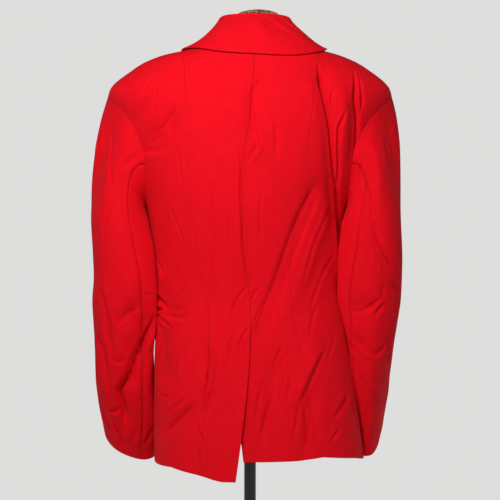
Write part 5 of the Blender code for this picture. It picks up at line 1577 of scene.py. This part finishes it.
def sew_buttons():
    blank, number = button_blank(), 0
    turn = np.array([0, 1, -1, 0, 0, 0.7, -0.7, 0.7, -0.7]) * BUTTON_RADIUS
    up = np.array([0, 0, 0, 1, -1, 0.7, 0.7, -0.7, -0.7]) * BUTTON_RADIUS
    for height in BUTTON_ROWS_Z:
        for x in (-BUTTON_COLUMN, BUTTON_COLUMN):
            number += 1
            skin, normals = finished_surface("right", x + turn, height + up)
            out = unit(normals.mean(axis=0))
            seat = max((skin - skin[0]) @ out) + SEAM_GAP
            tilt = Vector(out).to_track_quat("Z", "Y").to_matrix().to_4x4()
            sewn = new_piece("button_sewn_%d" % number, blank.data.copy())
            sewn.data.name = sewn.name
            sewn.data.transform(Matrix.Translation(skin[0] + out * seat) @ tilt
                                @ Matrix.Rotation(0.3 * number, 4, "Z"))
    bpy.data.objects.remove(blank)
    print("buttons:", number, "with", len(sewn.data.polygons), "faces each")


sew_buttons()

# %% [markdown]
# ## Buttonholes
# Each fastened button sits at the outer end of a worked buttonhole: a slit with a tight
# purl of silk round it. It is a ring drawn out until its sides nearly meet, laid on the
# cloth. Only its inner end shows beside the button.

# %% Three worked buttonholes
SLIT_RADIUS, PURL_RADIUS, SLIT_AT, STITCH = 0.0115, 0.0010, 0.0345, 0.0011


def buttonholes():
    for number, height in enumerate(BUTTON_ROWS_Z, 1):
        bpy.ops.object.select_all(action="DESELECT")
        bpy.ops.mesh.primitive_torus_add(major_radius=SLIT_RADIUS, minor_radius=PURL_RADIUS,
                                         major_segments=96, minor_segments=12, location=(0, 0, 0))
        ring = bpy.context.object
        edit(ring)
        bpy.ops.mesh.select_all(action="SELECT")
        bpy.ops.transform.resize(value=(1, 0.14, 0.55))
        bpy.ops.object.mode_set(mode="OBJECT")
        points = np.empty(len(ring.data.vertices) * 3)
        ring.data.vertices.foreach_get("co", points)
        points = points.reshape(-1, 3)
        stitch = 1 + 0.22 * np.sin(points[:, 0] * 2 * math.pi / STITCH)
        skin, normals = finished_surface("right", SLIT_AT + points[:, 0],
                                         height + points[:, 1] * stitch)
        placed = skin + normals * (points[:, 2] * stitch + 0.0003)[:, None]
        ring.data.vertices.foreach_set("co", placed.ravel())
        ring.name = ring.data.name = "buttonhole_%d" % number
        painted(ring, thread_red)
        smooth(ring, 60)
        pieces_made[ring.name] = ring
    print("buttonholes: 3, of", round(2 * (SLIT_RADIUS + PURL_RADIUS), 4), "m")


buttonholes()

# %% [markdown]
# ## Dress form
# Inside hangs a limbless form: a moulded body with a stretch cover in a spotted animal
# print, dark rosettes on gold with a pinkish middle. It shows only at the neck, where
# the cover is pulled up over a domed cap. The spots are cells of a Voronoi pattern: the
# distance to a cell's middle gives the gold patch and, further out, the dark ring.

# %% Cover of the form
def form_cover_finish():
    bench = Bench("spotted_cover", Sheen_Weight=0.12, Specular_IOR_Level=0.3)
    place = bench.place()
    bent = bench.node("ShaderNodeVectorMath", {"operation": "ADD"}, {
        0: place, 1: bench.node("ShaderNodeVectorMath", {"operation": "SCALE"}, {
            0: bench.node("ShaderNodeTexNoise", values={"Vector": place, "Scale": 120.0}, output=1),
            "Scale": 0.0042})})
    cells = bench.node("ShaderNodeTexVoronoi", {"feature": "F1"}, {
        "Vector": bent, "Scale": 78.0, "Randomness": 0.75})
    patches = bench.noise(place, 210.0, 2.0)
    breaks = bench.noise(place, 330.0, 2.0)
    ring = cells.step(0.34, 0.40) * (1 - cells.step(0.52, 0.58)) * breaks.step(0.36, 0.46)
    heart = 1 - cells.step(0.20, 0.34)
    ground = bench.blend((patches * 1.2 - 0.1).clamp(),
                         (0.270, 0.125, 0.040), (0.540, 0.290, 0.105))
    ground = bench.blend(heart * 0.75, ground, (0.330, 0.110, 0.070))
    colour = bench.blend(ring, ground, (0.016, 0.009, 0.007))
    knit = bench.noise(place, 3800.0, 2.0)
    return bench.use(colour, 0.66 + knit * 0.16, knit + ring * 0.3, depth=0.00012, strength=0.5)


form_cover = form_cover_finish()
print("cover nodes:", len(form_cover.node_tree.nodes))

# %% Shape of the form
FORM_BOTTOM_Z, FORM_TOP_Z = 0.336, 0.9872
FORM_RINGS = (
    Ring("bottom", FORM_BOTTOM_Z, FORM_BOTTOM_Z, FORM_BOTTOM_Z, 0.120, 0.126, 0.096, 0.102, 2.1),
    Ring("hip", 0.380, 0.380, 0.380, 0.127, 0.133, 0.102, 0.110, 2.1),
    Ring("high_hip", 0.445, 0.445, 0.445, 0.123, 0.127, 0.093, 0.106, 2.1),
    Ring("waist", 0.525, 0.525, 0.525, 0.115, 0.115, 0.077, 0.095, 2.1),
    Ring("midriff", 0.600, 0.600, 0.600, 0.122, 0.116, 0.081, 0.109, 2.1),
    Ring("armpit", 0.670, 0.670, 0.670, 0.134, 0.124, 0.089, 0.124, 2.1),
    Ring("chest", 0.735, 0.737, 0.735, 0.148, 0.144, 0.092, 0.119, 2.1),
    Ring("blade", 0.800, 0.802, 0.794, 0.168, 0.168, 0.091, 0.100, 2.1),
    Ring("shoulder_point", 0.846, 0.843, 0.830, 0.194, 0.194, 0.080, 0.076, 2.1),
    Ring("shoulder_middle", 0.884, 0.874, 0.856, 0.176, 0.178, 0.072, 0.064, 2.1),
    Ring("shoulder_inner", 0.903, 0.894, 0.878, 0.140, 0.143, 0.066, 0.058, 2.1),
    Ring("under_collar", 0.914, 0.907, 0.896, 0.098, 0.110, 0.060, 0.055, 2.0),
    Ring("neck_base", 0.926, 0.922, 0.912, 0.052, 0.070, 0.052, 0.049, 2.0),
    Ring("neck", 0.945, 0.945, 0.940, 0.032, 0.057, 0.043, 0.042, 2.0),
    Ring("neck_top", 0.970, 0.970, 0.970, 0.028, 0.054, 0.041, 0.041, 2.0),
    Ring("cap", 0.982, 0.982, 0.982, 0.019, 0.045, 0.032, 0.032, 2.0),
    Ring("crown", 0.9865, 0.9865, 0.9865, 0.004, 0.030, 0.017, 0.017, 2.0),
)


def form_points(angle, level):
    """The form has its own shape, but carries the jacket along the shoulders."""
    own = ringed(FORM_RINGS, angle, level)
    under = np.clip(level, POINT_LEVEL, NECK_LEVEL)
    s = np.sin(np.radians(angle))
    drop = SEAM_GAP + 0.0008 + 0.013 * (1 - np.exp(-((s / 0.30) ** 2)))
    normal = normals_of(lambda a, l: inside_of(a, l, fine=False), angle, under)
    seat = inside_of(angle, under, fine=False) - normal * drop[..., None]
    share = smoothstep((level - 8.5) / 0.6) * smoothstep((11.6 - level) / 0.6)
    return own + (seat - own) * share[..., None]


def make_form():
    levels = np.concatenate([np.linspace(0, 12, 150)[:-1], np.linspace(12, 16, 46)])
    angles, flat = np.meshgrid(np.linspace(0, 360, 145)[:-1], levels)
    points = form_points(angles, flat)
    rows, columns = points.shape[:2]
    index = np.arange(rows * columns).reshape(rows, columns)
    right = np.roll(index, -1, axis=1)
    faces = np.stack([index[:-1], right[:-1], right[1:], index[1:]], -1).reshape(-1, 4).tolist()
    low, top = rows * columns, rows * columns + 1
    faces += [(low, right[0, i], index[0, i]) for i in range(columns)]
    faces += [(index[-1, i], right[-1, i], top) for i in range(columns)]
    ends = [(*points[0, :, :2].mean(axis=0), FORM_BOTTOM_Z),
            (*points[-1, :, :2].mean(axis=0), FORM_TOP_Z)]
    mesh = bpy.data.meshes.new("form_body")
    mesh.from_pydata(points.reshape(-1, 3).tolist() + ends, [], faces)
    mesh.materials.append(form_cover)
    mesh.shade_smooth()
    mesh.set_sharp_from_angle(angle=math.radians(50))
    new_piece("form_body", mesh)
    print("form:", len(mesh.polygons), "faces")


make_form()

# %% [markdown]
# ## Counter stand
# The form stands on a black steel stand: a spun foot, a tube, and a plate screwed to the
# form's underside. Powder coat is satin black with a faint orange-peel texture. Each
# piece is turned, so each starts as a cylinder and gets its steps by insets.

# %% Black stand
FOOT_RADIUS, FOOT_HEIGHT = 0.141, 0.012
POLE_RADIUS, POLE_FOOT_Z = 0.0095, 0.0223
PLATE_RADIUS, PLATE_THICKNESS = 0.046, 0.014


def powder_finish():
    bench = Bench("powder_coat", Specular_IOR_Level=0.5)
    place = bench.place()
    peel = bench.noise(place, 900.0, 3.0)
    dust = bench.noise(place, 60.0, 4.0, 0.6)
    colour = bench.blend(dust.step(0.45, 0.75), (0.0075, 0.0075, 0.0085), (0.016, 0.016, 0.017))
    return bench.use(colour, 0.34 + dust * 0.16 + peel * 0.05, peel, depth=0.00008, strength=0.35)


def stand():
    powder = powder_finish()
    foot = cylinder("foot_spun", FOOT_RADIUS, 0, FOOT_HEIGHT, 128)
    edit(foot)
    picked(foot, lambda m: m.z > FOOT_HEIGHT - 0.0001 and m.xy.length < 0.001)
    for inset, rise in ((0.009, 0.0), (0.100, 0.0), (0.005, 0.008), (0.006, 0.002)):
        bpy.ops.mesh.inset(thickness=inset)
        bpy.ops.transform.translate(value=(0, 0, rise))
    bpy.ops.object.mode_set(mode="OBJECT")
    bevelled(foot, 0.0028, 5, 20)
    pole = cylinder("pole_tube", POLE_RADIUS, POLE_FOOT_Z, FORM_BOTTOM_Z - 0.0143, 48)
    bevelled(pole, 0.0006, 3, 40)
    plate = cylinder("plate_turned", PLATE_RADIUS, FORM_BOTTOM_Z - PLATE_THICKNESS,
                     FORM_BOTTOM_Z - SEAM_GAP, 72)
    edit(plate)
    picked(plate, lambda m: m.z < FORM_BOTTOM_Z - 0.0139 and m.xy.length < 0.001)
    bpy.ops.mesh.inset(thickness=0.022)
    bpy.ops.object.mode_set(mode="OBJECT")
    bevelled(plate, 0.0016, 4, 40)
    for piece in (foot, pole, plate):
        smooth(piece)
        painted(piece, powder)
        pieces_made[piece.name] = piece
    print("stand:", [(piece.name, len(piece.data.polygons)) for piece in (foot, pole, plate)])


stand()

# %% [markdown]
# ## Floor and light
# The floor is a plain pale disc, small enough that its far edge stays below the jacket
# in the camera's view. The main light is a small soft box halfway to the camera, higher
# than the jacket and a little to the left, so brightness falls from the upper left to the
# lower right and the creases show. A weak fill keeps the other side readable, and a
# second box, nearly as strong, lights the front, which this camera never sees. The
# world is pale only level with the jacket. Above and below it is dim, because light from
# everywhere would fill the creases in.

# %% Pale floor
def floor():
    made = cylinder("floor_disc", 0.90, -0.004, 0.0, 128)
    bench = Bench("floor_paint", Specular_IOR_Level=0.2)
    cloud = bench.noise(bench.place(), 3.0, 4.0)
    colour = bench.blend(cloud, (0.74, 0.74, 0.73), (0.79, 0.79, 0.78))
    painted(made, bench.use(colour, 0.78 + cloud * 0.05))
    smooth(made)


floor()


def pale_world(pale, dim):
    """Pale where the camera looks, level with the jacket, and dim above and below."""
    world = bpy.data.worlds.new("pale_world")
    world.use_nodes = True
    nodes, links = world.node_tree.nodes, world.node_tree.links
    nodes["Background"].inputs["Color"].default_value = (0.96, 0.96, 0.95, 1)
    place, split = nodes.new("ShaderNodeTexCoord"), nodes.new("ShaderNodeSeparateXYZ")
    height, fall = nodes.new("ShaderNodeMath"), nodes.new("ShaderNodeMapRange")
    height.operation, fall.interpolation_type = "ABSOLUTE", "SMOOTHSTEP"
    for name, value in (("From Min", 0.21), ("From Max", 0.36),
                        ("To Min", pale), ("To Max", dim)):
        fall.inputs[name].default_value = value
    links.new(place.outputs["Generated"], split.inputs["Vector"])
    links.new(split.outputs["Z"], height.inputs[0])
    links.new(height.outputs["Value"], fall.inputs["Value"])
    links.new(fall.outputs["Result"], nodes["Background"].inputs["Strength"])
    bpy.context.scene.world = world
    print("world:", world.name)


pale_world(0.76, 0.03)
bpy.context.scene.view_settings.view_transform = "Standard"

# %% Lights
Lamp = namedtuple("Lamp", "name place target size power")
LAMPS = (
    Lamp("soft_box_behind", (0.24, 1.00, 1.26), (0.0, 0.0, 0.64), 0.22, 11.6),
    Lamp("fill_behind", (-1.00, 1.30, 0.70), (0.0, 0.0, 0.55), 0.60, 0.7),
    Lamp("soft_box_front", (-0.36, -1.25, 1.15), (0.0, 0.0, 0.62), 0.25, 11.0),
)


def hang_lamps():
    for lamp in LAMPS:
        bpy.ops.object.light_add(type="AREA", location=lamp.place)
        made = bpy.context.object
        made.name = lamp.name
        made.data.shape, made.data.size, made.data.energy = "DISK", lamp.size, lamp.power
        aim = Vector(lamp.target) - Vector(lamp.place)
        made.rotation_euler = aim.to_track_quat("-Z", "Y").to_euler()
    print("lamps:", [lamp.name for lamp in LAMPS])


hang_lamps()

# %% [markdown]
# ## What each piece stands for
# Every piece rides on the one body of the jacket and takes the place of a part of the
# plain model, which is hidden. A table lists how large each cloth piece was cut before it
# was sewn: the pattern piece's width and length, and its area, since pattern pieces
# aren't rectangles.

# %% Cloth, buttons, form and stand
Cut = namedtuple("Cut", "node width length area held rests_on")
CUTS = (
    Cut("back_left", 0.149, 0.767, 0.0566, "hung", "form_body"),
    Cut("back_right", 0.141, 0.737, 0.0622, "hung", "form_body"),
    Cut("side_back_left", 0.171, 0.800, 0.0906, "hung", "form_body"),
    Cut("side_back_right", 0.176, 0.797, 0.0895, "hung", "form_body"),
    Cut("front_left", 0.305, 0.856, 0.1750, "hung", "form_body"),
    Cut("front_right", 0.335, 0.844, 0.1731, "hung", "form_body"),
    Cut("sleeve_left_upper", 0.359, 0.575, 0.1226, "hung", "cloth_front_left"),
    Cut("sleeve_left_under", 0.159, 0.517, 0.0445, "hung", "cloth_side_back_left"),
    Cut("sleeve_right_upper", 0.366, 0.578, 0.1166, "hung", "cloth_front_right"),
    Cut("sleeve_right_under", 0.161, 0.491, 0.0460, "hung", "cloth_side_back_right"),
    Cut("collar", 0.135, 0.549, 0.0471, "folded", "cloth_back_left"),
    Cut("lapel_left", 0.108, 0.284, 0.0224, "folded", "cloth_front_left"),
    Cut("lapel_right", 0.108, 0.354, 0.0242, "folded", "cloth_front_right"),
)
# Hard pieces: the piece, the part that it takes the place of, and its slot.
HARD = (
    ("form_body", "form_torso", "form_cover"), ("foot_spun", "stand_foot", "stand_black"),
    ("pole_tube", "stand_pole", "stand_black"), ("plate_turned", "stand_plate", "stand_black"),
)


def declare():
    for piece in pieces_made.values():
        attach(piece, "root")
    for cut in CUTS:
        piece = pieces_made["cloth_" + cut.node]
        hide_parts(cut.node)
    for number in range(1, 7):
        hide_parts("button_%d" % number)
    for name, node, slot in HARD:
        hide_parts(node)
    print("declared:", len(pieces_made))


declare()
